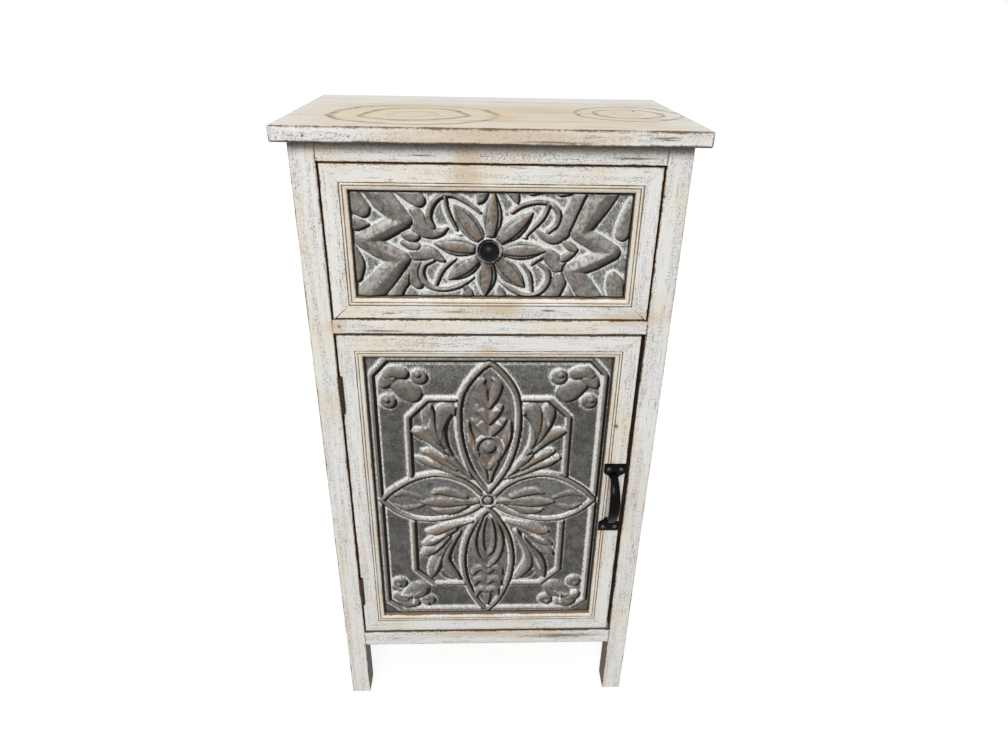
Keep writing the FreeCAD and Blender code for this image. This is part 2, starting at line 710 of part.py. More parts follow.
# Hinge leaves, each a plate with its own knuckles on the shared pin
knuckle_count = 5
knuckle_length = f"((hinge_length - {knuckle_count - 1} * knuckle_gap) / {knuckle_count})"
pins, hinge_notches = [], []
for position, hinge_middle in hinge_middles.items():
    hinge_low = f"({hinge_middle} - hinge_length / 2)"
    hinge_high = f"({hinge_middle} + hinge_length / 2)"
    bore = rod("hinge_bore_" + position, (hinge_x, hinge_y, f"{hinge_low} - cut_overrun"), "+z",
               "pin_radius + pin_play", "hinge_length + 2 * cut_overrun")
    for owner, leaf_x, first, holes in (
        ("frame", frame_leaf_x, 0, frame_holes),
        ("door", door_leaf_x, 1, door_holes),
    ):
        leaf_name = f"hinge_{owner}_leaf_{position}"
        plate_y = (leaf_front, f"{leaf_front} + leaf_depth")
        solids = [block(leaf_name, leaf_x, plate_y, (hinge_low, hinge_high))]
        for number in range(first, knuckle_count, 2):
            low = f"({hinge_low} + {number} * ({knuckle_length} + knuckle_gap))"
            part_name = f"{leaf_name}_{number + 1}"
            solids.append(rod(part_name, (hinge_x, hinge_y, low), "+z", "knuckle_radius", knuckle_length))
            solids.append(block(part_name, leaf_x, (hinge_y, leaf_front), (low, f"{low} + {knuckle_length}")))
        own_holes = holes[:2] if position == "upper" else holes[2:]
        keep(leaf_name, cut(leaf_name, fuse(leaf_name, solids), [bore] + own_holes))
    stem = rod("hinge_pin_" + position, (hinge_x, hinge_y, hinge_low), "+z", "pin_radius", "hinge_length")
    tips = []
    for end, way, height in (("top", "+z", hinge_high), ("low", "-z", hinge_low)):
        tip_name = f"pin_tip_{end}_{position}"
        tips.append(rod(tip_name, (hinge_x, hinge_y, height), way, "pin_tip_radius", "pin_tip_height"))
    pins.append(fuse("hinge_pin_" + position, [stem] + tips))
    notch_x = (f"({door_left} - cut_overrun)", f"({hinge_x} + knuckle_radius + hinge_relief)")
    notch_y = (f"({front} - cut_overrun)", leaf_front)
    notch_half = "(hinge_length / 2 + pin_tip_height + hinge_relief)"
    notch_z = (f"{hinge_middle} - {notch_half}", f"{hinge_middle} + {notch_half}")
    hinge_notches.append(block("hinge_notch_" + position, notch_x, notch_y, notch_z))
keep("hinge_pins", group("hinge_pins", pins))

# Strike disc for the catch, with a spike that goes into the door's top rail
strike_z = f"({catch_top} - catch_height / 2)"
disc = rod("strike_disc", (catch_x, fronts_back, strike_z), "+y", "strike_radius", "strike_thickness")
spike = rod("strike_spike", (catch_x, fronts_back, strike_z), "-y", "spike_radius", "spike_length")
spike_hole = rod("spike_hole", (catch_x, fronts_back, strike_z), "-y", "spike_radius + screw_play",
                 "spike_length")
keep("strike_plate", fuse("strike_plate", [disc, spike]))

# Door and drawer front frames
frame("door_", ("stile_left", "stile_right", "rail_bottom", "rail_top"), "door_frame_width",
      (door_left, door_right), (door_bottom, door_top), "0",
      {"stile_left": hinge_notches + door_holes, "stile_right": pull_holes, "rail_top": [spike_hole]})
frame("drawer_front_", ("stile_left", "stile_right", "rail_bottom", "rail_top"), "drawer_frame_width",
      (f"-{drawer_right}", drawer_right), (drawer_bottom, drawer_top), "drawer_front_trim", {})


def raised(name, x, z, radius, height):
    """A round boss that stands on the face of a sheet."""
    return rod(name, (x, sheet_face, z), "-y", radius, height)


def lens(name, x, z, angle, length, half_width, height):
    """A pointed leaf that stands on the face of a sheet, its long axis turned up from the horizontal."""
    radius = f"((({length}) / 2) ^ 2 + ({half_width}) ^ 2) / (2 * ({half_width}))"
    shift = f"({radius} - ({half_width}))"
    discs = []
    for number, first, second in ((1, "-", "+"), (2, "+", "-")):
        disc_x = f"{x} {first} {shift} * sin({angle})"
        disc_z = f"{z} {second} {shift} * cos({angle})"
        discs.append(raised(f"{name}_{number}", disc_x, disc_z, radius, height))
    return common(name, discs)


def petal(name, centre, ray, axis_angle, start, length, half_width):
    """A leaf inside a raised outline, on a ray from the centre of the pattern."""
    x = f"({centre[0]} + cos({ray}) * ({start} + {length} / 2))"
    z = f"({centre[1]} + sin({ray}) * ({start} + {length} / 2))"
    outside = lens(name + "_outside", x, z, axis_angle, length, half_width, "ridge_height")
    inside_length = f"({length} - 2 * ridge_width)"
    inside_half = f"({half_width} - ridge_width)"
    inside = lens(name + "_inside", x, z, axis_angle, inside_length, inside_half, "ridge_height")
    leaf_length = f"({length} * leaf_share)"
    leaf_half = f"({half_width} * leaf_share)"
    leaf = lens(name + "_leaf", x, z, axis_angle, leaf_length, leaf_half, "leaf_relief")
    return [cut(name + "_outline", outside, [inside]), leaf]


def chamfered(x, z, chamfer):
    """The eight corners of a rectangle with its corners cut off."""
    return [
        (f"{x[0]} + {chamfer}", z[0]), (f"{x[1]} - {chamfer}", z[0]), (x[1], f"{z[0]} + {chamfer}"),
        (x[1], f"{z[1]} - {chamfer}"), (f"{x[1]} - {chamfer}", z[1]), (f"{x[0]} + {chamfer}", z[1]),
        (x[0], f"{z[1]} - {chamfer}"), (x[0], f"{z[0]} + {chamfer}"),
    ]


def ridge_ring(name, x, z, inset_x, inset_z, chamfer):
    """A raised ridge that runs round a panel with cut corners."""
    outside_x = (f"({x[0]} + {inset_x})", f"({x[1]} - {inset_x})")
    outside_z = (f"({z[0]} + {inset_z})", f"({z[1]} - {inset_z})")
    inside_x = (f"({outside_x[0]} + ridge_width)", f"({outside_x[1]} - ridge_width)")
    inside_z = (f"({outside_z[0]} + ridge_width)", f"({outside_z[1]} - ridge_width)")
    body = new_body(name)
    loops = [chamfered(outside_x, outside_z, chamfer), chamfered(inside_x, inside_z, chamfer)]
    pad(body, name + "_ridge", sketch_on(body, "XZ_Plane", name + "_outline", loops), "ridge_height")
    return place(body, y=sheet_face)


# Pressed sheet of the door: a ridged border, an inner frame, four outlined leaves round a boss, a leaf in
# each quarter and two volutes in each corner
door_pattern = (middle(door_sight_x), f"({middle(door_sight_z)} - pattern_drop)")
relief = [
    ridge_ring("door_border", door_sight_x, door_sight_z, "border_inset", "border_inset", "border_chamfer"),
    ridge_ring("door_inner_frame", door_sight_x, door_sight_z, "inner_frame_inset_x", "inner_frame_inset_z",
               "inner_frame_chamfer"),
    raised("door_boss", door_pattern[0], door_pattern[1], "boss_radius", "boss_height"),
]
for name, ray, length, half_width in (
    ("up", "90", "tall_petal_length", "tall_petal_half_width"),
    ("down", "270", "tall_petal_length", "tall_petal_half_width"),
    ("left", "180", "wide_petal_length", "wide_petal_half_width"),
    ("right", "0", "wide_petal_length", "wide_petal_half_width"),
):
    relief += petal("door_petal_" + name, door_pattern, ray, ray, "petal_start", length, half_width)
for row, up in (("bottom", -1), ("top", 1)):
    for side, sign in sides:
        corner = f"{row}_{side}"
        reach = "(corner_leaf_start + corner_leaf_length / 2)"
        leaf_x = f"({door_pattern[0]} + {sign} * {reach} * cos(corner_leaf_turn))"
        leaf_z = f"({door_pattern[1]} + {up} * {reach} * sin(corner_leaf_turn))"
        relief.append(lens("door_corner_leaf_" + corner, leaf_x, leaf_z, f"{sign * up} * corner_leaf_turn",
                           "corner_leaf_length", "corner_leaf_half_width", "leaf_relief"))
        edge_x = door_sight_x[0 if sign < 0 else 1]
        edge_z = door_sight_z[0 if up < 0 else 1]
        for number, inset_x, inset_z in ((1, "volute_near", "volute_far"), (2, "volute_far", "volute_near")):
            relief.append(raised(f"door_volute_{corner}_{number}", f"{edge_x} - {sign} * {inset_x}",
                                 f"{edge_z} - {up} * {inset_z}", "volute_radius", "leaf_relief"))
door_sheet = block("door_sheet", tuck(door_sight_x), (sheet_face, backing_face), tuck(door_sight_z))
keep("door_metal_panel", fuse("door_metal_panel", [door_sheet] + relief))
keep("door_backing_board", block("door_backing_board", tuck(door_sight_x), (backing_face, backing_back),
                                 tuck(door_sight_z)))

# Knob and the screw that holds it from inside the drawer
knob_x = f"({middle(drawer_sight_x)} - knob_offset)"
knob_z = middle(drawer_sight_z)
knob_y = f"({front} - knob_reach + knob_half_depth)"
ball = doc.addObject("Part::Ellipsoid", "knob_ball")
bind(ball, Radius1="knob_half_depth", Radius2="knob_radius", Radius3="knob_radius")
place(ball, knob_x, knob_y, knob_z, turns["-y"])
stem = rod("knob_stem", (knob_x, sheet_face, knob_z), "-y", "knob_stem_radius", f"{sheet_face} - {knob_y}")
foot = cone("knob_foot", (knob_x, sheet_face, knob_z), "-y", "knob_foot_radius", "knob_stem_radius",
            "knob_foot_height")
knob_screw_length = "backing_thickness + sheet_thickness + knob_screw_grip"
knob_seat = (knob_x, backing_back, knob_z)
knob_bore = rod("knob_bore", (knob_x, backing_back, knob_z), "-y", "knob_screw_radius + screw_play",
                "backing_thickness + sheet_thickness + knob_bore_depth")
keep("drawer_knob", cut("drawer_knob", fuse("drawer_knob", [ball, stem, foot]), [knob_bore]))
keep("knob_screw", screw("knob_screw", knob_seat, "-y", "knob_screw_radius", "knob_screw_head_radius",
                         knob_screw_length, False, "knob_screw_head_height"))

# Pressed sheet of the drawer front: a flower of eight leaves round the knob, with a scroll in each corner and
# a zigzag band at each end
flower_leaves = 8
zigzag_steps = 2
relief = []
for number in range(flower_leaves):
    ray = f"({number} * 360 / {flower_leaves} - flower_turn)"
    distance = "(flower_inner_radius + flower_petal_length / 2)"
    petal_x = f"({knob_x} + cos{ray} * {distance})"
    petal_z = f"({knob_z} + sin{ray} * {distance})"
    relief.append(lens(f"flower_petal_{number + 1}", petal_x, petal_z, ray, "flower_petal_length",
                       "flower_petal_half_width", "flower_relief"))
ring = raised("knob_ring", knob_x, knob_z, "knob_ring_radius", "ridge_height")
ring_hole = raised("knob_ring_hole", knob_x, knob_z, "knob_ring_radius - knob_ring_width", "ridge_height")
relief.append(cut("knob_ring", ring, [ring_hole]))
for side, sign in sides:
    for row, up in (("bottom", -1), ("top", 1)):
        corner = f"{row}_{side}"
        scroll_x = f"({knob_x} + {sign} * scroll_spread_x)"
        scroll_z = f"({knob_z} + {up} * scroll_spread_z)"
        full = raised("scroll_" + corner, scroll_x, scroll_z, "scroll_radius", "ridge_height")
        bite_x = f"({scroll_x} + {sign} * scroll_shift)"
        bite_z = f"({scroll_z} + {up} * scroll_shift)"
        bite = raised("scroll_bite_" + corner, bite_x, bite_z, "scroll_radius", "ridge_height")
        relief.append(cut("scroll_" + corner, full, [bite]))
    zigzag = new_body("zigzag_" + side)
    corners = []
    for step in range(-zigzag_steps, zigzag_steps + 1):
        corner_x = "zigzag_outer" if step % 2 == 0 else "zigzag_inner"
        corners.append((f"{sign} * {corner_x}", f"{step} * zigzag_step"))
    inner_line = [(f"{x} - {sign} * zigzag_width", z) for x, z in corners]
    outline = sketch_on(zigzag, "XZ_Plane", "zigzag_outline_" + side, [corners + inner_line[::-1]])
    pad(zigzag, "zigzag_ridge_" + side, outline, "ridge_height")
    relief.append(place(zigzag, middle(drawer_sight_x), sheet_face, knob_z))
drawer_sheet = block("drawer_sheet", tuck(drawer_sight_x), (sheet_face, backing_face), tuck(drawer_sight_z))
pressed = fuse("drawer_metal_panel", [drawer_sheet] + relief)
keep("drawer_metal_panel", cut("drawer_metal_panel", pressed, [knob_bore]))
drawer_backing = block("drawer_backing_board", tuck(drawer_sight_x), (backing_face, backing_back),
                       tuck(drawer_sight_z))
keep("drawer_backing_board", cut("drawer_backing_board", drawer_backing, [knob_bore]))

# Drawer box: sides and back grooved and set round the bottom
box_low = f"({drawer_sill} + slide_play)"
box_high = f"({drawer_head} - kicker_play)"
bottom_low = f"({box_low} + drawer_bottom_rise)"
bottom_high = f"({bottom_low} + drawer_bottom_thickness)"
bottom_half = f"({drawer_side_inner} + drawer_groove_depth)"
bottom_x = (f"groove_play / 2 - {bottom_half}", f"{bottom_half} - groove_play / 2")
keep("drawer_bottom", block("drawer_bottom", bottom_x, (fronts_back, drawer_end), (bottom_low, bottom_high)))
groove = block("drawer_groove", (f"-{bottom_half}", bottom_half), (fronts_back, drawer_end),
               (f"({bottom_low} - groove_play / 2)", f"({bottom_high} + groove_play / 2)"))
for side, sign in sides:
    board = block("drawer_side_" + side, both_sides(sign, drawer_side_inner, drawer_side_outer),
                  (fronts_back, drawer_end), (box_low, box_high))
    keep("drawer_side_" + side, cut("drawer_side_" + side, board, [groove]))
keep("drawer_back", block("drawer_back", (f"-{drawer_side_inner}", drawer_side_inner),
                          (f"{drawer_end} - drawer_back_thickness", drawer_end), (bottom_high, box_high)))

doc.recompute()

# Every object and every sub-part is checked before any file is written
failed = [item.Name for item in doc.Objects if "Invalid" in item.State or "Error" in item.State]
for node in nodes:
    shape = node.Shape
    if shape.isNull() or not shape.isValid() or not shape.Solids:
        failed.append(node.Label)
if failed:
    raise RuntimeError("not sound: " + ", ".join(failed))
os.makedirs("parts", exist_ok=True)
for node in nodes:
    node.Shape.exportStep(f"parts/{node.Label}.step")
    box = node.Shape.BoundBox
    print(f"{node.Label}: {len(node.Shape.Solids)} solids, {node.Shape.Volume:.0f} mm3, "
          f"x {box.XMin:.1f} {box.XMax:.1f} y {box.YMin:.1f} {box.YMax:.1f} z {box.ZMin:.1f} {box.ZMax:.1f}")
print(f"{len(nodes)} sub-parts")
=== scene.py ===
import math
from functools import partial
import bpy
import numpy as np
from mathutils import Matrix, Vector


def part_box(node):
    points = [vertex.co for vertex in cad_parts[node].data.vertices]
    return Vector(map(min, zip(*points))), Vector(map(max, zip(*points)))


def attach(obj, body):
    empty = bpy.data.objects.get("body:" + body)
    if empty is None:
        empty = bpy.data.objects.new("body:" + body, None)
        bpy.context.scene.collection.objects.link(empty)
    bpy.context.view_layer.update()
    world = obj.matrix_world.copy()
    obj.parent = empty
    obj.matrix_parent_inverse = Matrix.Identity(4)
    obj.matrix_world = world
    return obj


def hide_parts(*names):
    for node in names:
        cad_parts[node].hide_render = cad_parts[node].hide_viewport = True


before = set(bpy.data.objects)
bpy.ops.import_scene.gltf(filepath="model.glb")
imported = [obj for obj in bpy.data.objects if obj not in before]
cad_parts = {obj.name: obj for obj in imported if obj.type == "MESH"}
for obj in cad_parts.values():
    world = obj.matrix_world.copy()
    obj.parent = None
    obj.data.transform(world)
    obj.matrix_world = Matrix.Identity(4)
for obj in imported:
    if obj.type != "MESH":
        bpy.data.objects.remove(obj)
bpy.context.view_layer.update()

print("frame loaded:", len(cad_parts), "pieces")
smoothStep = {"interpolation_type": "SMOOTHSTEP"}     # a soft edge for what is cut out of a noise


def hexColour(code):
    # sRGB hex to linear
    parts = [int(code[i:i + 2], 16) / 255 for i in (1, 3, 5)]
    return [c / 12.92 if c < 0.04045 else ((c + 0.055) / 1.055) ** 2.4 for c in parts] + [1]


def addNode(tree, kind, *given, out=0, **settings):
    # given is one dictionary of sockets, or the first sockets' values in order; each socket takes a value
    # or follows another node's output, and out names the output that comes back
    node = tree.nodes.new(kind if "Node" in kind else "ShaderNode" + kind)
    for key, value in settings.items():
        setattr(node, key, value)
    sockets = given[0] if given and isinstance(given[0], dict) else dict(enumerate(given))
    for key, value in sockets.items():
        if isinstance(value, bpy.types.NodeSocket):
            tree.links.new(value, node.inputs[key])
        else:
            node.inputs[key].default_value = value
    return node.outputs[out] if len(node.outputs) else node


def newMaterial(name):
    material = bpy.data.materials.new(name)
    material.use_nodes = True
    material.node_tree.nodes.clear()
    return material, partial(addNode, material.node_tree)


def surfaced(material, node, sockets, height, strength, distance):
    # a principled surface with these sockets, made uneven by the height; distance in m
    bump = node("Bump", {"Height": height, "Strength": strength, "Distance": distance})
    node("OutputMaterial", {"Surface": node("BsdfPrincipled", {**sockets, "Normal": bump})})
    return material


def addObject(name, data):
    thing = bpy.data.objects.new(name, data)
    bpy.context.scene.collection.objects.link(thing)
    return thing


def clamp(values):
    return np.clip(values, 0, 1)


def wobble(points, size, seed):
    # smooth noise in -1..1 from a few sines, size in the points' own unit
    rng = np.random.default_rng(seed)
    total = np.zeros(len(points))
    for octave in (1.0, 1.9, 3.7):
        for _ in range(3):
            way = rng.normal(size=3)
            way /= np.linalg.norm(way)
            total += np.sin(points @ way * octave * 2 * math.pi / size + rng.uniform(0, 6.28)) / octave
    return total / 3.2


def makePiece(name, points, faces, material, body, replaced, fields=None, smooth=None):
    # points in mm; fields are point attributes, 1 or 3 numbers each; smooth is the angle that stays sharp
    mesh = bpy.data.meshes.new(name)
    mesh.from_pydata((np.asarray(points) * 0.001).tolist(), [], faces)
    for key, data in (fields or {}).items():
        data = np.asarray(data, np.float32)
        kind, prop = ("FLOAT", "value") if data.ndim == 1 else ("FLOAT_VECTOR", "vector")
        mesh.attributes.new(key, kind, "POINT").data.foreach_set(prop, data.ravel())
    mesh.materials.append(material)
    mesh.validate()
    if smooth:
        mesh.polygons.foreach_set("use_smooth", [True] * len(mesh.polygons))
        mesh.set_sharp_from_angle(angle=math.radians(smooth))
    piece = addObject(name, mesh)
    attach(piece, body)
    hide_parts(*replaced)


def ringFaces(start, rows, count, flip=False):
    # quads between rings of points that follow one another, and a cap on the first and the last
    faces = []
    for row in range(rows - 1):
        for k in range(count):
            a, b = start + row * count + k, start + row * count + (k + 1) % count
            faces.append((a, a + count, b + count, b) if flip else (a, b, b + count, a + count))
    last = start + (rows - 1) * count
    caps = [list(range(start, start + count))[::-1], list(range(last, last + count))]
    return faces + [cap[::-1] if flip else cap for cap in caps]


# whitewashed pine: hex colours, mm and shares
paintLook = {
    "white": "#e8e7e3", "warm": "#e7decd", "cream": "#e3d4b8", "cool": "#b4b7ba", "fleck": "#80766a",
    "tan": "#ccb391", "brown": "#5c4430",
    "dirt": "#120d08",     # painted shade in the gaps round the door and the drawer
    "roughness": 0.62,
    "arris": 0.8,          # mm of bare brown wood along an arris
    "rubbed": (0.6, 1.6),  # mm from an arris, from and to where the tan beside it fades
    "fray": (3.2, 5),      # mm by which the fine and the medium noise fray it
    # how far they break the brown lines of the mouldings, and what is left: from and to where, the shares there
    "lineFray": (1.5, 1.6), "lineCut": (1.9, 2.3, 0, .85),
    # noises: mm along and across the grain, detail, roughness
    "grain": {"blotch": (90, 38, 4, .55), "medium": (33, 11, 3, .6), "fine": (2.9, 2.0, 3, .6),
              "rows": (17, 1.5, 4, .72), "weft": (1.5, 11, 4, .72), "drift": (125, 6.2, 3, .6),
              "stipple": (2.1, .85, 2, .65)},
    # shares cut out of them: which noise, from and to where, at most how much
    "cuts": {"warmth": ("blotch", .42, .68, .9), "rowHatch": ("rows", .5, .68, .6),
             "weftHatch": ("weft", .52, .7, .55), "drifts": ("drift", .3, .62, 1),
             "patches": ("medium", .44, .6, 1), "creamPatches": ("medium", .3, .6, .7),
             "rowPores": ("rows", .585, .65, 1), "weftPores": ("weft", .61, .67, .8),
             "stipples": ("stipple", .54, .62, .92), "bands": ("drift", .44, .6, 1)},
    # spots: colour and share, the noise that frays them and by how much, and from and to where they fade, in half
    # sizes with the fray added
    "spots": {"worn": ("tan", .66, "rows", 3.0, 1.9, 2.7), "flaws": ("brown", .85, "rows", 3.5, 2.05, 2.85),
              "shaded": ("brown", .8, "fine", 1.2, .9, 1.9), "knotRims": ("tan", .4, "fine", 1.2, 1.8, 2.8),
              "knots": ("brown", .95, "fine", 1.2, 1.1, 1.7)},
    # worn to tan: centre and half size in mm
    "worn": (((-26, -116, 770), (16, 12, 11)), ((-26, -116, 750), (17, 12, 16)), ((5, -130, 791), (116, 9, 14)),
             ((-4, -116, 559), (14, 9, 9)), ((12, -116, 612), (26, 9, 9)), ((0, -116, 116), (90, 9, 5)),
             ((-170, -116, 590), (12, 9, 9)), ((150, -116, 600), (40, 9, 9)), ((10, -52, 800), (17, 32, 6)),
             ((52, 18, 800), (44, 13, 6))),
    # short dark flaws where the paint missed the grain
    "flaws": (((164, -129, 793.5), (17, 4, 1.1)), ((172, -129, 791.5), (12, 4, .7)),
              ((138, -115.5, 771.5), (26, 4, 1.3)), ((-70, -115.5, 772), (14, 4, 1)),
              ((-96, -115.5, 743), (14, 4, 1)), ((-55, -115.5, 741), (9, 4, 1)), ((60, -129, 788), (40, 4, 1.2)),
              ((103, -115.5, 112), (60, 4, 4)), ((-120, -115.5, 585), (30, 4, 1.5)),
              ((-40, -115.5, 608), (16, 4, 1.4)), ((62, -115.5, 610), (10, 4, 1.2)),
              ((-110, -115.5, 606), (8, 4, 1))),
    "shaded": (((0, -115.5, 783), (900, 4, 4.5)),),     # painted shadow under the top board
    # knots and nail holes: centre and radius in mm
    "knots": (((150.5, -115.5, 462), 2.6), ((137.4, -115.5, 404), 1.6), ((-179.9, -129, 791), 1.2),
              ((-197.4, -129, 793), .7), ((-205, -129, 789), .6), ((162, 20, 800), 2.2),
              ((-166, -115.5, 590), 1.5)),
}
# the top board's upper face: wood where it is sanded bare, lime towards its ends, its back and its front
figureLook = {
    "limed": "#dcdad5", "wood": "#d5c7af", "ring": "#84694b",
    "limedShare": 0.85, "woodShare": 0.9, "ringShare": 0.95,
    "height": (.7985, .7998),     # m, from the arris to the face
    # m: how far the edge of the lime wanders, and where it starts and ends
    "back": (.08, .075, .15), "front": (.05, -.09, -.06), "ends": (.05, .18, .24), "frontShare": .35,
    "warp": (.012, .018, .018),   # per mm
    # rings: how far they wander; from and to where in each one its line lies; in half sizes, where they fade out
    # and where they grow clear; where the noise breaks them; and the streaks beside them
    "ringFray": .4, "ringWidth": (.66, .93), "ringFade": (1.25, 1.5), "heart": (.45, .75, .25),
    "broken": (.4, .6, .55), "streaks": (.54, .7, 0, .5),
    # figures on the upper face: centre x, y and half sizes in mm; rings in a half size, where the first one lies
    "figures": (((-84, -34), (92, 82)), ((152, -2), (62, 68))), "rings": (2.86, .66),
}


def figureLayers(node, figured, place, spot, grain, ovalReach):
    # colours and shares of the sanded face: lime all over, wood where it is bare, and the rings of its figures
    x, y, z = node("SeparateXYZ", spot).node.outputs
    upper = node("MapRange", z, *figured["height"])
    warp = node("TexNoise", {"Vector": node("Mapping", {"Vector": place, "Scale": figured["warp"]}), "Scale": 1,
                             "Detail": 3})
    limed = []
    for side, way in (("back", y), ("front", y), ("ends", node("Math", x, operation="ABSOLUTE"))):
        wander, low, high = figured[side]
        way = node("Math", warp, wander, way, operation="MULTIPLY_ADD")
        shares = (figured["frontShare"], 0) if side == "front" else (0, 1)
        limed.append(node("MapRange", way, low, high, *shares))
    limed = node("Math", node("Math", *limed[:2], operation="MAXIMUM"), limed[2], operation="MAXIMUM")
    bare = node("Math", upper, limed, operation="SUBTRACT", use_clamp=True)
    rings = node("MapRange", grain["drift"], *figured["streaks"], **smoothStep)
    count, start = figured["rings"]
    for (middleX, middleY), (halfX, halfY) in figured["figures"]:
        away = ovalReach((middleX, middleY, 800), (halfX, halfY, 400))
        away = node("Math", warp, figured["ringFray"], away, operation="MULTIPLY_ADD")
        ring = node("Math", node("Math", away, count, start, operation="MULTIPLY_ADD"), operation="FRACT")
        ring = node("MapRange", ring, *figured["ringWidth"], **smoothStep)
        ring = node("Math", ring, node("MapRange", grain["medium"], *figured["broken"]), operation="MULTIPLY")
        inside = node("MapRange", away, *figured["ringFade"], 1, 0)
        inside = node("Math", inside, node("MapRange", away, *figured["heart"]), operation="MULTIPLY")
        ring = node("Math", ring, inside, operation="MULTIPLY")
        rings = node("Math", rings, ring, operation="MAXIMUM")
    rings = node("Math", rings, upper, operation="MULTIPLY")
    return [(figured[key], node("Math", amount, figured[key + "Share"], operation="MULTIPLY"))
            for key, amount in (("limed", upper), ("wood", bare), ("ring", rings))]


def paintMaterial(name, look, figured=None):
    material, node = newMaterial(name)
    place, reach = (node("Attribute", out="Vector", attribute_name=key) for key in ("place", "reach"))
    cream, line, gap = (node("Attribute", out="Fac", attribute_name=key) for key in ("cream", "line", "gap"))
    spot = node("TexCoord", out="Object")
    near = node("SeparateXYZ", reach).node.outputs

    def ovalReach(middle, half):
        # 0 in the middle of an oval spot, 1 at its edge; mm
        away = node("VectorMath", spot, [m * .001 for m in middle], operation="SUBTRACT")
        away = node("VectorMath", away, [h * .001 for h in half], operation="DIVIDE")
        return node("VectorMath", away, out="Value", operation="LENGTH")

    grain = {}
    for shift, (key, (along, across, detail, rough)) in enumerate(look["grain"].items()):
        moved = node("Mapping", {"Vector": place, "Location": [shift * 7.3] * 3,
                                 "Scale": (1 / along, 1 / across, 1 / across)})
        grain[key] = node("TexNoise", {"Vector": moved, "Scale": 1, "Detail": detail, "Roughness": rough})
    share = {key: node("MapRange", grain[noise], low, high, 0, top, **smoothStep)
             for key, (noise, low, high, top) in look["cuts"].items()}
    # rubbed paint: a warm ground, cool hatching both ways like brushed lime, flecks where the pores are
    hatch = node("Math", share["rowHatch"], share["weftHatch"], operation="MAXIMUM")
    pores = node("Math", share["rowPores"], share["weftPores"], operation="MAXIMUM")
    pores = node("Math", pores, share["patches"], operation="MULTIPLY")
    layers = [(look["warm"], share["warmth"]),
              (look["cool"], node("Math", hatch, share["drifts"], operation="MULTIPLY")),
              (look["fleck"], node("Math", pores, .85, operation="MULTIPLY")),
              (look["fleck"], node("Math", share["stipples"], share["bands"], operation="MULTIPLY"))]
    if figured:
        layers += figureLayers(node, figured, place, spot, grain, ovalReach)
    spots = [(kind, *spot) for kind in ("worn", "flaws", "shaded") for spot in look[kind]]
    for middle, radius in look["knots"]:
        half = (radius, radius * 2, radius * 1.25)
        spots += [("knotRims", middle, half), ("knots", middle, half)]
    for kind, middle, half in spots:
        colour, top, noise, fray, low, high = look["spots"][kind]
        away = node("Math", grain[noise], fray, ovalReach(middle, half), operation="MULTIPLY_ADD")
        layers.append((look[colour], node("MapRange", away, low, high, top, 0)))
    # an arris is where two of the three ways to the surface are short; its paint is rubbed to tan, then to brown
    lesser = node("Math", near[0], near[1], operation="MINIMUM")
    greater = node("Math", near[0], near[1], operation="MAXIMUM")
    greater = node("Math", greater, near[2], operation="MINIMUM")
    arris = node("Math", lesser, greater, operation="MAXIMUM")
    for noise, fray in zip(("fine", "medium"), look["fray"]):
        arris = node("Math", grain[noise], fray, arris, operation="MULTIPLY_ADD")
    edge, bare = sum(look["fray"]) / 2, look["arris"]     # the noises are a half on the average
    low, high = look["rubbed"]
    layers += [(look["tan"], node("MapRange", arris, edge + low, edge + high, .8, 0)),
               (look["brown"], node("MapRange", arris, edge + bare * .35, edge + bare, .92, 0))]
    # mouldings: a cream bead and slope, broken brown lines in the quirks
    layers.append((look["cream"], node("Math", cream, share["creamPatches"], operation="MULTIPLY")))
    broken = line
    for noise, fray in zip(("fine", "medium"), look["lineFray"]):
        broken = node("Math", grain[noise], fray, broken, operation="MULTIPLY_ADD")
    broken = node("MapRange", broken, *look["lineCut"])
    drawn = node("MapRange", line, .02, .25)
    layers.append((look["brown"], node("Math", broken, drawn, operation="MULTIPLY")))
    # painted shade in the gaps round the door and the drawer
    layers.append((look["dirt"], node("Math", gap, .97, operation="MULTIPLY")))
    colour = hexColour(look["white"])
    for code, amount in layers:
        colour = node("Mix", {0: amount, 6: colour, 7: hexColour(code)}, out=2, data_type="RGBA")
    height = node("Math", pores, -1.2, grain["rows"], operation="MULTIPLY_ADD")
    return surfaced(material, node, {"Base Color": colour, "Roughness": look["roughness"]}, height, .35, .0002)


# chalk paint brushed thin on pine and sanded: matt, cross-hatched, bare brown wood on every arris
painted = paintMaterial("whitewashedPine", paintLook)
# the same board sanded to the wood on top, so the oval figure of flat-sawn pine shows
paintedTop = paintMaterial("sandedPineTop", dict(paintLook, arris=2.7, brown="#4d3826"), figureLook)


# the grain's noise per mm along and across it, and from and to where it counts
planedLook = {"pale": "#d9bf94", "dark": "#b98f5e", "grain": (.012, .25), "cut": (.4, .75), "roughness": .65}


def planedMaterial(name, look):
    material, node = newMaterial(name)
    place = node("Attribute", out="Vector", attribute_name="place")
    along, across = look["grain"]
    moved = node("Mapping", {"Vector": place, "Scale": (along, across, across)})
    grain = node("TexNoise", {"Vector": moved, "Scale": 1, "Detail": 4, "Roughness": .6})
    share = node("MapRange", grain, *look["cut"], **smoothStep)
    colour = node("Mix", {0: share, 6: hexColour(look["pale"]), 7: hexColour(look["dark"])}, out=2,
                  data_type="RGBA")
    return surfaced(material, node, {"Base Color": colour, "Roughness": look["roughness"]}, grain, .3, .0002)


# planed softwood without a finish: warm and dull, two tones in streaks along the grain
planedPine = planedMaterial("planedPine", planedLook)
print("wood finishes made")
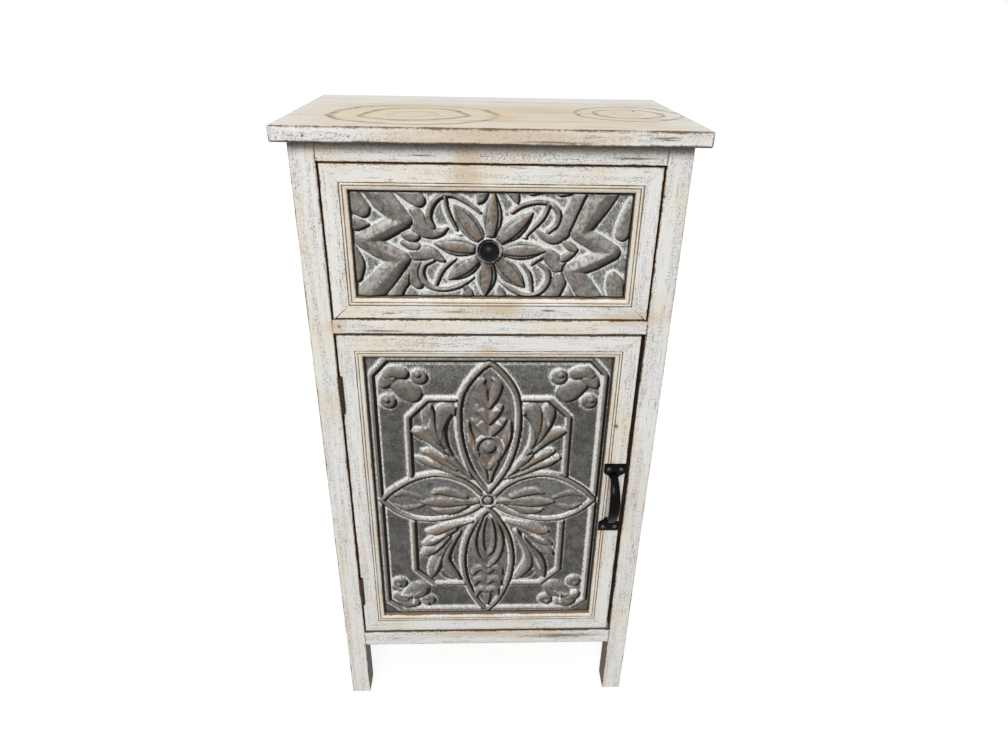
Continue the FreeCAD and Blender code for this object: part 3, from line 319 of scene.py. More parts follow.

# mm: arris radius, spacing of points along the grain, a row of them near each arris, depth of bruises,
# reach of painted shade into the gaps round the fronts and where it starts, half width, front and top of the
# opening for them, and the height up to which the front legs stand free, with their painted shade there
boardLook = {"round": 1.5, "along": 5.0, "edge": 1.5, "dent": 0.35, "grime": 7.0, "grimeStart": -114.0,
             "opening": (173.1, -114.7, 770), "free": (95, .8)}
backRabbet = (179.0, 139.5, 97.5)     # what the rear legs leave to the back panel


def roundedBoard(name, body, axis, seed, material=painted, radius=None, butted=False,
                 rabbet=None):
    # a board in its node's place, its grain along the axis, its arrises rounded and a little bruised;
    # a rabbet takes away what lies nearer the middle than x, behind y and above z
    look = boardLook
    low, high = (np.array(v) * 1000 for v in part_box(name))
    half = (high - low) / 2
    middle = (high + low) / 2
    r = min(radius or look["round"], half.min() * 0.6)
    turns = np.tan(np.radians([0, 15, 30, 45]))
    lattice = []
    for i in range(3):
        inner = half[i] - r
        corner = inner + r * turns
        count = max(1, int(2 * inner / look["along"])) if i == axis else 1
        rows = [*-corner, *np.linspace(-inner, inner, count + 1)[1:-1], *corner]
        for least, inset in ((4, look["edge"]), (12, look["grime"])):
            if inner > least:
                rows += [inner - inset, inset - inner]
        if rabbet and i != 1:
            cut = rabbet[i] * (np.sign(middle[0]) if i == 0 else 1) - middle[i]
            rows += [cut - .02, cut + .02]
        lattice.append(np.unique(np.round(rows, 4)))
    sizes = [len(v) for v in lattice]
    quads = []
    for i in range(3):
        j, k = (i + 1) % 3, (i + 2) % 3
        for side in (0, sizes[i] - 1):
            rows, columns = np.meshgrid(range(sizes[j]), range(sizes[k]), indexing="ij")
            index = np.zeros(rows.shape + (3,), int)
            index[..., i], index[..., j], index[..., k] = side, rows, columns
            key = (index[..., 0] * sizes[1] + index[..., 1]) * sizes[2] + index[..., 2]
            quad = np.stack([key[:-1, :-1], key[1:, :-1], key[1:, 1:], key[:-1, 1:]], -1).reshape(-1, 4)
            quads.append(quad if side else quad[:, ::-1])
    keys, flat = np.unique(np.concatenate(quads), return_inverse=True)
    grid = np.stack([keys // (sizes[1] * sizes[2]), keys // sizes[2] % sizes[1], keys % sizes[2]], -1)
    local = np.stack([lattice[i][grid[:, i]] for i in range(3)], -1)
    inner = np.clip(local, -(half - r), half - r)
    normal = (local - inner) / np.linalg.norm(local - inner, axis=1, keepdims=True)
    local = inner + normal * r
    reach = half - np.abs(local)
    arris = np.sort(reach, axis=1)[:, 1]
    dent = clamp(wobble(local + seed * 37, 23, seed)) * look["dent"] * clamp(1 - arris / 3)
    local = local - normal * dent[:, None]
    if butted:
        reach[:, axis] += 50     # an end that meets another board keeps its paint
    spot = local + middle
    # painted shade in the gaps round the fronts; on the front legs' inner sides it goes deeper,
    # and they are brown all the way back
    x, y, z = spot.T
    wide, front, top = look["opening"]
    inward = (np.abs(x) < wide) * (y > front) * (z < top)
    frontLeg = "front_leg" in name
    gap = clamp(1 - (y - look["grimeStart"]) / look["grime"] / (2 if frontLeg else 1))
    if frontLeg:
        gap = np.where(z < look["free"][0], look["free"][1], gap)
    order = [axis, (axis + 1) % 3, (axis + 2) % 3]
    offset = np.random.default_rng(seed).uniform(0, 900, 3)
    fields = {"place": local[:, order] + offset, "reach": reach, "gap": gap * inward,
              "line": inward * (1.5 if frontLeg else 0.0)}
    faces = flat.reshape(-1, 4)
    if rabbet:
        spot[(np.abs(spot[:, 0]) < rabbet[0]) & (spot[:, 1] > rabbet[1]) & (spot[:, 2] > rabbet[2]), 1] = rabbet[1]
        spot, first, merged = np.unique(spot.round(3), axis=0, return_index=True, return_inverse=True)
        fields = {key: values[first] for key, values in fields.items()}
        faces = [list(dict.fromkeys(face)) for face in merged.ravel()[faces].tolist()]
    faces = [list(face) for face in faces if len(face) > 2]
    makePiece(name + "_board", spot, faces, material, body, (name,), fields, 60)


caseBoards = {"front_leg": 2, "rear_leg": 2, "side_rail_top": 1, "side_rail_bottom": 1, "side_panel": 2,
              "top_rail": 0, "mid_rail": 0, "bottom_rail": 0}
seed = 2
for name, axis in caseBoards.items():
    for side in ("_left", "_right") if name.startswith(("front", "rear", "side")) else ("",):
        inner = "rail" in name or "panel" in name
        roundedBoard(name + side, "case", axis, seed, radius=0.9 if inner else 1.5, butted=inner,
                     rabbet=backRabbet if name == "rear_leg" else None)
        seed += 1
roundedBoard("top_board", "case", 0, 40, paintedTop, radius=2.2)
for name, body, axis in (("shelf", "case", 0), ("drawer_back", "drawer", 0), ("drawer_side_left", "drawer", 1),
                         ("drawer_side_right", "drawer", 1)):
    roundedBoard(name, body, axis, 50 + len(name), planedPine, 0.8)
print("boards made")

# moulded members of the door and the drawer front, sizes in mm
mouldingLook = {
    "front": -115.5, "thick": 17.5, "rabbet": 7.0, "step": 5.0, "bruise": 0.25,
    # rows of the section from the outer edge inwards, and on to the inner edge: way to that edge, depth behind the
    # front, brown line and cream; the outer edge has a line too
    "outer": ((0, 1.5, .6, 0), (.25, .5, .6, 0), (.7, .12, 0, 0), (1.5, 0, 0, 0)),
    "inner": ((9.3, 0, 0, 0), (8.6, .02, .8, 0), (8.3, .7, 1.2, .3), (7.9, .75, 1.1, .6), (7.6, .3, .3, 1),
              (7.2, .06, 0, 1), (6.6, 0, 0, 1), (6.0, .06, 0, 1), (5.6, .3, .5, 1), (5.3, .85, 1.3, 1),
              (4.8, .95, 1.2, 1), (4.4, .8, .2, 1), (3.2, .9, 0, 1), (1.8, 1.3, 0, 1), (.8, 2.0, .4, 1),
              (.3, 3.4, 1, 1), (0, 6.2, 1.4, 1), (0, 7.5, 1.5, 1)),
    "door": {"x": (-171.0, 168.5), "z": (125.5, 579.5), "wide": 27.5, "trim": 0.0},
    "drawer": {"x": (-171.3, 171.3), "z": (596.6, 763.5), "wide": 26.5, "trim": 3.0},
    "hinges": (504.5, 200.5), "hingeHalf": 23.6, "notch": (3.4, 1.9),
}


def mouldingSection(look, wide, trim):
    rows = [(trim + way, *rest) for way, *rest in look["outer"]] + [((trim + wide) / 2, 0, 0, 0)]
    rows += [(wide - way, *rest) for way, *rest in look["inner"]]
    edge, thick = wide - look["rabbet"], look["thick"]
    return np.array(rows + [(edge, 7.5, 0, 0), (edge, thick, 0, 0), (trim, thick, 0, 0), (trim, 7.0, 0, 0),
                            (trim, 3.5, 0, 0)])


def mouldedMember(name, body, outer, side, seed):
    # one side of a frame: its section swept between two mitres, with notches for the hinges
    look = mouldingLook
    (x0, x1), (z0, z1) = outer["x"], outer["z"]
    trim = outer["trim"] if side == "bottom" else 0.0
    section = mouldingSection(look, outer["wide"], trim)
    inset, depth = section[:, 0], section[:, 1]
    low, high = (x0, x1) if side in ("top", "bottom") else (z0, z1)
    # square stations between two mitred ends; the drawer's bottom member is trimmed, so its uprights end above it
    start = low + (np.maximum(inset, outer["trim"]) if side in ("left", "right") else inset)
    end = high - inset
    clear = outer["wide"] + 2
    stations = np.linspace(low + clear, high - clear, int((high - low - 2 * clear) / look["step"]) + 1)
    hinged = body == "door" and side == "left"
    if hinged:
        cuts = [z + s * (look["hingeHalf"] + gap) for z in look["hinges"] for s in (-1, 1) for gap in (0, .05)]
        stations = np.sort(np.concatenate([stations, cuts]))
    along = np.vstack([start] + [np.full(len(inset), s) for s in stations] + [end])
    insets = np.repeat(inset[None, :], len(along), 0)
    depths = np.repeat(depth[None, :], len(along), 0)
    if hinged:
        rows = np.zeros(len(along), bool)
        for z in look["hinges"]:
            rows[1:-1] |= np.abs(stations - z) <= look["hingeHalf"] + .01
        cut, deep = look["notch"]
        for column, (s, d) in enumerate(((0, deep), (cut - .01, deep), (cut, deep - .2), (cut, .2))):
            insets[rows, column], depths[rows, column] = s, d
    spread = {"left": x0 + insets, "right": x1 - insets, "bottom": z0 + insets, "top": z1 - insets}[side]
    y = look["front"] + depths
    bruise = clamp(wobble(np.stack([along, spread, y], -1).reshape(-1, 3), 17, seed)).reshape(y.shape)
    y = y + bruise * look["bruise"] * (depths < 3) * (insets < trim + 2)
    points = np.stack([along, y, spread] if side in ("top", "bottom") else [spread, y, along], -1)
    index = np.arange(y.size).reshape(y.shape)
    turned = np.roll(index, -1, axis=1)
    quads = np.stack([index[:-1], turned[:-1], turned[1:], index[1:]], -1).reshape(-1, 4)
    caps = [index[0][::-1], index[-1]]
    if side in ("right", "bottom"):
        quads, caps = quads[:, ::-1], [cap[::-1] for cap in caps]
    # ways to the mitre, which wears less, to the outer edge and to the front
    mitre = np.minimum(along - start, end - along) * 0.7
    reach = np.stack([mitre * 3 + .7, insets - trim, np.maximum(depths, 0)], -1)
    place = np.stack([along, insets, y], -1) + np.random.default_rng(seed).uniform(0, 900, 3)
    lines, creams = (np.repeat(section[None, :, column], len(along), 0) for column in (2, 3))
    gap = clamp(1.2 - depths / 6) * (insets < trim + .1) * (depths > 1.4)     # painted shade on the outer edge, in the gap
    fields = {"place": place.reshape(-1, 3), "reach": reach.reshape(-1, 3), "line": lines.ravel(),
              "cream": creams.ravel(), "gap": gap.ravel()}
    makePiece(name + "_moulding", points.reshape(-1, 3), quads.tolist() + [cap.tolist() for cap in caps], painted,
              body, (name,), fields)


seed = 60
for body, prefix in (("door", "door"), ("drawer", "drawer_front")):
    for part, side in (("stile", "left"), ("stile", "right"), ("rail", "top"), ("rail", "bottom")):
        mouldedMember(f"{prefix}_{part}_{side}", body, mouldingLook[body], side, seed)
        seed += 1
print("mouldings made")


# pressed sheets, drawn as strokes on a grid
def dome(q, power=1):
    # 1 in the middle and 0 where q is 1; a lower power makes it plumper
    return clamp(1 - q ** 2) ** power


def band(away, half, top=1):
    # falls from its top by 1 in each half, and is never over 1
    return clamp(top - np.abs(away) / half)


def smoothPath(points, steps=6):
    # Catmull-Rom through the drawn points, their radius as well
    p = np.array(points, float)
    if len(p) < 3:
        return p
    ends = np.vstack([2 * p[0] - p[1], p, 2 * p[-1] - p[-2]])
    out = []
    for i in range(1, len(ends) - 2):
        a, b, c, d = ends[i - 1:i + 3]
        for t in np.linspace(0, 1, steps, endpoint=False):
            out.append(0.5 * (2 * b + (c - a) * t + (2 * a - 5 * b + 4 * c - d) * t ** 2
                              + (3 * b - a - 3 * c + d) * t ** 3))
    return np.array(out + [p[-1]])


class Sheet:
    # drawn in units of 1/unit mm, u to the right and v down; height in mm, the rest are shares
    def __init__(self, look):
        left, right, top, bottom = look["extent"]
        self.u = np.linspace(left, right, int(round((right - left) / look["step"])) + 1)
        self.v = np.linspace(top, bottom, int(round((bottom - top) / look["step"])) + 1)
        self.uGrid, self.vGrid = np.meshgrid(self.u, self.v)
        self.height, self.tan, self.wash, self.dark = (np.zeros(self.uGrid.shape) for _ in range(4))
        self.side = (1, 0)     # strokes are drawn at v times the first, plus the second

    def over(self, field, values):
        # the greater of the field and the values
        setattr(self, field, np.maximum(getattr(self, field), values))

    def put(self, where, **values):
        # new values for fields in a part of the sheet
        for field, value in values.items():
            setattr(self, field, np.where(where, value, getattr(self, field)))

    def keep(self, share, *fields):
        # what is drawn already stays only by this share
        for field in fields:
            setattr(self, field, getattr(self, field) * share)

    def draw(self, steps):
        # each step is a method's name with what it is given
        for kind, *given in steps:
            getattr(self, kind)(*given)

    def reach(self, points, straight=False):
        # 0 on the stroke's line, 1 at its edge
        flip, shift = self.side
        p = np.array(points, float) * (1, flip, 1) + (0, shift, 0)
        p = p if straight else smoothPath(p)
        q = np.full(self.uGrid.shape, 9.0)
        for a, b in zip(p[:-1], p[1:]):
            r = 3 * max(a[2], b[2])
            i0, i1 = np.searchsorted(self.u, (min(a[0], b[0]) - r, max(a[0], b[0]) + r))
            j0, j1 = np.searchsorted(self.v, (min(a[1], b[1]) - r, max(a[1], b[1]) + r))
            if i0 >= i1 or j0 >= j1:
                continue
            u, v = self.uGrid[j0:j1, i0:i1], self.vGrid[j0:j1, i0:i1]
            d = b[:2] - a[:2]
            t = clamp(((u - a[0]) * d[0] + (v - a[1]) * d[1]) / max(d @ d, 1e-9))
            away = np.hypot(u - a[0] - t * d[0], v - a[1] - t * d[1]) / (a[2] + t * (b[2] - a[2]))
            q[j0:j1, i0:i1] = np.minimum(q[j0:j1, i0:i1], away)
        return q

    def lift(self, points, height, tan, straight=False):
        # a raised lobe or ridge, with a narrow moat that keeps it apart from those under it
        q = self.reach(points, straight)
        self.height *= 1 - 0.75 * band(q - 1.12, .22) * (self.height > 0.2)
        self.over("height", height * dome(q, .6))
        self.tan = np.maximum(self.tan * (q > 1.0), tan * dome(q))

    def leaf(self, lobes, height, tan, crease=0.6, power=0.55):
        near = np.array([self.reach(points) for points in lobes] + [np.full(self.uGrid.shape, 9.0)])
        near.sort(axis=0)
        q, gap = near[0], near[1] - near[0]
        body = height * dome(q, power)
        body *= 1 - crease * band(gap, .32) ** 1.5
        self.put(q < 1, height=np.maximum(body, self.height * .3),
                 tan=tan * clamp(1 - 1.3 * q ** 2) * clamp(gap / .4))
        # painted shade with soot in the creases between the lobes
        line = band(gap, .12) * (q < 1)
        self.dark = np.maximum(self.dark * (q > 1), line * .75)
        self.wash *= q > 1.05

    def sink(self, points, depth):
        q = self.reach(points)
        self.height -= depth * dome(q)
        # painted shade with soot along the groove
        self.over("dark", 0.8 * clamp(1.2 - q))

    def paint(self, field, strength, points, straight=False):
        self.over(field, strength * clamp(1.4 - self.reach(points, straight)))

    def signedReach(self, outline):
        # distance from a closed outline, negative inside
        p = np.array(outline, float)
        near = np.full(self.uGrid.shape, 1e9)
        inside = np.zeros(self.uGrid.shape, bool)
        for a, b in zip(p, np.roll(p, -1, axis=0)):
            d = b - a
            u, v = self.uGrid - a[0], self.vGrid - a[1]
            t = clamp((u * d[0] + v * d[1]) / max(d @ d, 1e-9))
            near = np.minimum(near, np.hypot(u - t * d[0], v - t * d[1]))
            if a[1] != b[1]:
                beside = self.uGrid < a[0] + v * d[0] / d[1]
                inside ^= ((self.vGrid >= a[1]) != (self.vGrid >= b[1])) & beside
        return np.where(inside, -near, near)


def blur(field, passes):
    for _ in range(passes):
        g = np.pad(field, 1, mode="edge")
        field = (g[:-2, 1:-1] + g[2:, 1:-1] + g[1:-1, :-2] + g[1:-1, 2:] + 2 * g[1:-1, 1:-1]) / 6
    return field


def closedOutline(half, centre):
    left = smoothPath([(a, b, 1) for a, b in half])[:, :2]
    right = left[::-1].copy()
    right[:, 0] = 2 * centre - right[:, 0]
    return np.vstack([left, right])


def moved(field, cells):
    # the field slid down and to the right by so many cells, or back where that is negative
    out = np.zeros(field.shape)
    if cells > 0:
        out[cells:, cells:] = field[:-cells, :-cells]
    else:
        out[:cells, :cells] = field[-cells:, -cells:]
    return out


# wear of both sheets: how much deeper they are pressed than drawn; the rises in a mm past which a slope
# casts a painted shadow below it, and past which it catches chalk with a painted highlight; and foot, hollow
# and crest of the relief, as passes of the blur that each is measured against and how strongly it counts
wearLook = {"press": 1.55, "shadeRise": .6, "catchRise": .62, "foot": (4, 2.2), "hollow": (24, 1.6),
            "crest": (10, 1.3)}


def weathered(sheet, look):
    # chalk lies in the hollows; chalk with a painted highlight lies against what rises to the lower right;
    # a painted shadow lies below what rises to the upper left, and painted shade with soot at the feet and on
    # slopes that face down
    fields = [sheet.height, sheet.tan, blur(sheet.wash, 1) * 1.1, sheet.dark]
    if look["mirror"]:
        fields = [np.hstack([f, f[:, -2::-1]]) for f in fields]
    height, tan, wash, dark = fields
    height = blur(height, 1) * wearLook["press"]
    step = (sheet.u[1] - sheet.u[0]) / look["unit"]
    shade, catch = np.zeros(height.shape), np.zeros(height.shape)
    # painted shadow cast from the upper left; chalk and painted highlight against what rises to the lower right
    for k in (1, 2):
        shade = np.maximum(shade, moved(height, k) - height - wearLook["shadeRise"] * k * step)
        catch = np.maximum(catch, moved(height, -k) - height - wearLook["catchRise"] * k * step)
    lit = blur(clamp(catch * .75) * np.clip(1.5 - height / 1.7, .2, 1), 1) * 1.15
    slope = (moved(height, -1) - moved(height, 1)) / (2.8 * step)
    # painted highlight on the slopes that face up and to the left
    facing = clamp(slope) * .3 * look["model"]
    # foot: painted shade with soot where the relief meets the ground; hollow: chalk; crest: patina
    (near, foot), (wide, hollow), (middle, crest) = (wearLook[key] for key in ("foot", "hollow", "crest"))
    foot = clamp((blur(height, near) - height) * foot)
    hollow = clamp((blur(height, wide) - height) * hollow)
    crest = clamp((height - blur(height, middle)) * crest)
    low = clamp(1.5 - height / .8)
    # painted shade on the slopes that face down and to the right
    shadedAndSooted = clamp(-slope - .1) * .6 * look["model"]
    dark = clamp(dark * .6 * (1 - lit) + shade * 1.7 + foot * .35 * (1 - lit) + shadedAndSooted)
    wash = wash * .7 + (hollow * look["rub"] + look["dust"]) * low
    wash = clamp(wash + np.maximum(lit, facing)) * (1 - .7 * clamp(shade * 1.6))
    # a pale film on the raised parts, with painted sheen on their slopes that face up and to the left
    veil = clamp((1 - low) * (.45 + .9 * slope)) * look["veil"]
    return height, tan * (.35 + .65 * crest), wash, dark, veil


# the door's sheet: place in mm, drawn units in a mm, their step and extent, the part in sight in mm; how much wash
# lies in the hollows and on the open ground, how much pale film and painted sheen lie on the leaves, and how
# strongly painted light and shade show on the slopes
doorLook = {
    "origin": (-150.139, 556.0), "unit": 3.6, "step": 4.0, "extent": (6, 536, -4, 1468), "mirror": True,
    "sight": (-143.5, 141.0, 153.0, 552.0), "rub": 0.42, "dust": 0.04, "veil": 0.6, "model": 1.6,
    # strokes of the left half: u, v and half width. Border and frame, with chalk and painted shadow
    # and soot along them
    "ground": (
        ("lift", ((536, 30, 9), (114, 30, 9), (49, 102, 9), (49, 1368, 9), (114, 1424, 9), (536, 1424, 9)), 2.2,
         .45, True),
        ("lift", ((536, 219, 10), (277, 219, 10), (191, 306, 10), (191, 1168, 10), (277, 1256, 10),
                  (536, 1256, 10)), 2.4, .45, True),
        ("paint", "wash", .8, ((536, 15, 4), (106, 15, 4), (34, 95, 3), (34, 1375, 3), (106, 1442, 3),
                               (536, 1442, 3)), True),
        ("paint", "wash", .9, ((536, 56, 3), (120, 56, 3), (69, 108, 4), (69, 1360, 4), (122, 1406, 3),
                               (536, 1407, 4)), True),
        ("paint", "wash", 1, ((536, 206, 5), (270, 206, 5), (178, 300, 4), (178, 1172, 4), (270, 1270, 3),
                              (536, 1270, 4)), True),
        ("paint", "dark", .9, ((536, 42, 5), (119, 42, 5), (60, 107, 5), (60, 1362, 4), (119, 1410, 3),
                               (536, 1411, 3)), True),
        ("paint", "dark", .9, ((536, 233, 5), (283, 233, 5), (204, 311, 5), (204, 1163, 5), (283, 1241, 4),
                               (536, 1242, 4)), True),
        # leaves in the quadrants between the petals
        ("leaf", (((392, 292, 8), (380, 268, 22), (348, 276, 38), (326, 345, 30), (332, 430, 24), (362, 505, 20),
                   (412, 572, 14), (474, 628, 7)),
                  ((286, 250, 8), (280, 288, 30), (292, 345, 26), (312, 405, 18), (345, 465, 14)),
                  ((208, 374, 8), (240, 386, 26), (276, 412, 24), (322, 457, 18), (372, 512, 12)),
                  ((250, 476, 8), (284, 492, 22), (330, 526, 17), (392, 572, 10)),
                  ((224, 514, 8), (264, 536, 20), (312, 557, 18), (384, 592, 12), (452, 622, 7))), 3.4, .34),
        ("leaf", (((258, 930, 10), (300, 926, 24), (352, 902, 22), (412, 880, 14), (472, 862, 7)),
                  ((238, 1006, 8), (276, 986, 24), (322, 952, 24), (382, 910, 14)),
                  ((226, 1072, 8), (256, 1050, 24), (302, 1020, 22), (352, 960, 16)),
                  ((262, 1208, 8), (275, 1170, 24), (290, 1120, 30), (320, 1050, 22), (362, 970, 14)),
                  ((402, 1222, 8), (376, 1192, 20), (346, 1142, 26), (336, 1090, 22), (357, 1020, 16),
                   (402, 930, 9))), 3.4, .34),
        # chalk with painted highlights, bare patina, and painted shadow with soot on them
        *(("paint", "wash", .95, stroke) for stroke in (
            ((285, 308, 5), (276, 345, 7), (262, 362, 4)), ((272, 975, 6), (300, 958, 10), (335, 940, 7)),
            ((252, 425, 3), (285, 452, 8), (320, 492, 8), (342, 512, 4)), ((262, 515, 4), (288, 529, 5)),
            ((280, 1040, 4), (300, 1015, 5), (322, 995, 4)), ((312, 1075, 4), (298, 1110, 8), (283, 1155, 5)),
            ((305, 1195, 4), (325, 1222, 4), (370, 1238, 5), (400, 1222, 6)))),
        *(("paint", "tan", 1.6, stroke) for stroke in (
            ((262, 480, 6), (305, 518, 10), (355, 545, 9)), ((396, 250, 9), (403, 300, 8)),
            ((312, 300, 9), (316, 332, 8)), ((275, 925, 7), (310, 922, 10), (350, 905, 8)),
            ((300, 1150, 7), (308, 1175, 7)), ((270, 380, 6), (300, 420, 6)))),
        *(("paint", "dark", .9, stroke) for stroke in (
            ((215, 418, 3), (240, 450, 4), (262, 474, 4)), ((322, 1180, 4), (340, 1215, 4), (370, 1230, 4)),
            ((232, 512, 3), (250, 535, 4), (270, 555, 5), (330, 566, 5)),
            ((395, 292, 3), (365, 318, 5), (345, 350, 5), (334, 390, 5), (336, 430, 4)),
            ((258, 1120, 6), (285, 1060, 5), (330, 1000, 6), (370, 945, 6)))),
        ("sink", ((462, 622, 4), (400, 560, 4), (352, 490, 4), (330, 430, 3), (322, 370, 2)), .7),
        ("sink", ((462, 870, 4), (400, 920, 4), (340, 1000, 4), (300, 1080, 3), (280, 1140, 2)), .7)),
    # each corner: a trefoil and two curled tips, with the radius and height of their discs and of the nubs in them
    "trefoil": (("leaf", (((112, 108, 20), (136, 92, 30), (178, 96, 26)),
                          ((92, 150, 16), (108, 132, 30), (130, 120, 26)),
                          ((150, 150, 30), (196, 176, 50), (212, 190, 44))), 2.7, .42, .35),),
    "tips": (((246, 112), (238, 100)), ((112, 228), (104, 220))), "disc": (33, 2.3), "nub": (14, 3.4),
    # the lower ones mirror the upper ones, and keep chalk and painted shade with soot between their lobes
    "corners": (((1, 0), ()), ((-1, 1476), (
        ("paint", "wash", 1.1, ((207, 178, 4), (178, 154, 5), (172, 126, 5), (170, 98, 7))),
        ("paint", "wash", 1, ((116, 154, 9), (148, 152, 8), (172, 166, 5))),
        ("paint", "wash", .9, ((196, 92, 6), (212, 76, 9), (244, 66, 8))),
        ("paint", "dark", 1, ((166, 144, 4), (164, 110, 4))),
        ("paint", "dark", .9, ((240, 200, 4), (242, 176, 5), (230, 150, 5), (218, 138, 4)))))),
    # a petal, by the way from its outline, negative inside: from where the ground stays and how softly; half width,
    # power, height and tan of its rim; start, softness, power and height of its field; place and half width of a
    # line; place, half width, top and share of each stroke of chalk and of painted shadow with soot
    "petal": {"clear": (12, 6), "rim": (11, .6, 2.7, .42), "field": (-26, 12, .7, .9), "line": (-26, 8),
              "wash": ((18, 4, 1.3, .9), (-17, 4, 1.2, .7)), "dark": ((12, 4, 1.3, .9), (-36, 5, 1.1, .6))},
    # the four petals' outlines
    "north": ((536, 46), (500, 76), (455, 130), (424, 188), (411, 245), (407, 310), (411, 390), (427, 480),
              (456, 570), (495, 640), (536, 700)),
    "south": ((536, 800), (492, 850), (452, 930), (429, 1010), (420, 1110), (432, 1220), (462, 1315),
              (498, 1385), (536, 1432)),
    "west": (((52, 745), (105, 690), (200, 628), (293, 604), (384, 622), (456, 664), (520, 735)),
             ((520, 760), (456, 808), (384, 838), (293, 858), (200, 850), (120, 810), (52, 745))),
    # leaves inside the petals
    "leaves": (
        ("leaf", (((446, 326, 6), (448, 372, 14), (462, 432, 19), (490, 504, 16), (536, 572, 9)),
                  ((466, 316, 6), (480, 330, 18), (506, 362, 23), (536, 404, 10)),
                  ((484, 246, 6), (492, 262, 16), (512, 292, 21), (536, 334, 10)),
                  ((514, 122, 8), (500, 142, 20), (506, 172, 25), (516, 212, 19), (536, 254, 10)),
                  ((530, 640, 8), (520, 590, 12), (500, 540, 10))), 3.0, .55, .65),
        ("leaf", (((536, 455, 34), (535, 456, 34)),), 3.2, .8),
        ("lift", ((490, 500, 6), (482, 452, 8), (504, 414, 9), (536, 402, 9)), 2.6, .5),
        # chalk with painted highlights, painted shadow with soot, and bare patina on these leaves
        ("paint", "wash", 1, ((476, 486, 4), (470, 446, 4), (496, 406, 4), (536, 390, 4))),
        ("paint", "dark", .9, ((512, 490, 4), (536, 497, 4))),
        *(("paint", "wash", 1, stroke) for stroke in (
            ((484, 268, 4), (504, 262, 7), (514, 268, 4)), ((478, 345, 3), (495, 331, 7), (514, 325, 5)),
            ((450, 430, 3), (446, 380, 4)))),
        *(("paint", "tan", 1.6, stroke) for stroke in (
            ((462, 380, 9), (466, 430, 9)), ((512, 508, 8), (522, 540, 8)), ((536, 300, 8), (520, 250, 8)))),
        ("leaf", (((512, 838, 6), (492, 890, 9), (476, 950, 12), (472, 1010, 13), (488, 1080, 13), (520, 1134, 12),
                   (536, 1146, 8)),
                  ((524, 850, 6), (510, 920, 9), (508, 990, 11), (516, 1042, 11), (536, 1068, 9)),
                  ((466, 1196, 6), (480, 1164, 18), (508, 1152, 22), (536, 1184, 10)),
                  ((472, 1262, 6), (484, 1232, 18), (508, 1222, 21), (536, 1252, 10)),
                  ((482, 1334, 6), (492, 1300, 16), (512, 1288, 18), (536, 1316, 10)),
                  ((536, 1290, 10), (530, 1335, 13), (536, 1392, 6))), 2.9, .4, .65),
        ("leaf", (((108, 722, 5), (150, 706, 16), (192, 714, 18), (242, 736, 8)),
                  ((108, 768, 5), (150, 788, 16), (192, 784, 18), (242, 768, 8))), 2.0, .35),
        ("leaf", (((286, 706, 6), (316, 694, 20), (372, 702, 25), (432, 728, 14)),
                  ((286, 794, 6), (318, 804, 20), (372, 802, 25), (432, 778, 14)),
                  ((238, 754, 8), (280, 755, 24), (338, 757, 33), (420, 755, 25), (500, 750, 12))), 3.0, .6, .6),
        ("sink", ((470, 752, 3), (420, 753, 3), (350, 754, 2)), .5)),
    # the boss in the middle: radius and height of its dish; radius, half width and height of the ring and of the
    # bead in it; radius and share of its tan; how far out chalk and painted shadow with soot are drawn anew,
    # with their radius, half width and top; how far the chalk on low ground reaches, and its share
    "boss": {"middle": (536, 749), "dish": (44, .8), "ring": (35, 8, 2.0), "bead": (25, 22, 3.4), "tan": (18, .9),
             "wash": (52, 34, 7, 1.2), "dark": (30, 24, 4, 1.4), "chalky": (180, 1.05)},
}


def curledTips(s, look):
    # a disc with a curled rim and a nub beside its middle
    (disc, discHeight), (core, coreHeight) = look["disc"], look["nub"]
    for (u, v), (nubU, nubV) in look["tips"]:
        q = s.reach(((u, v, disc), (u, v + 1, disc)))
        s.keep(clamp((q - 1.0) / .2), "height")
        s.put(q < 1, height=discHeight * clamp(1 - q ** 4) ** .5, tan=0, dark=0)
        s.wash = np.maximum(s.wash * (q > 1), band(q - 1.25, .2, 1.3) * .4)
        q = s.reach(((nubU, nubV, core), (nubU + 1, nubV, core)))
        s.put(q < 1.5, height=np.maximum(1.6, coreHeight * dome(q, .5)))
        s.put(q < 1, tan=.8)


def petal(s, outline, look):
    # clears the ground, then draws a raised rim, a low field, a line round it, and chalk and painted shadow with
    # soot along them
    away = s.signedReach(outline)
    start, soft = look["clear"]
    s.keep(clamp((away - start) / soft), "height", "tan", "wash", "dark")
    half, power, height, tan = look["rim"]
    rim = dome(away / half, power)
    s.over("height", height * rim)
    s.over("tan", tan * rim)
    start, soft, power, height = look["field"]
    s.over("height", height * clamp((start - away) / soft) ** power)
    place, half = look["line"]
    s.over("height", dome((away - place) / half))
    for field in ("wash", "dark"):
        for place, half, top, share in look[field]:
            s.over(field, band(away - place, half, top) * share)


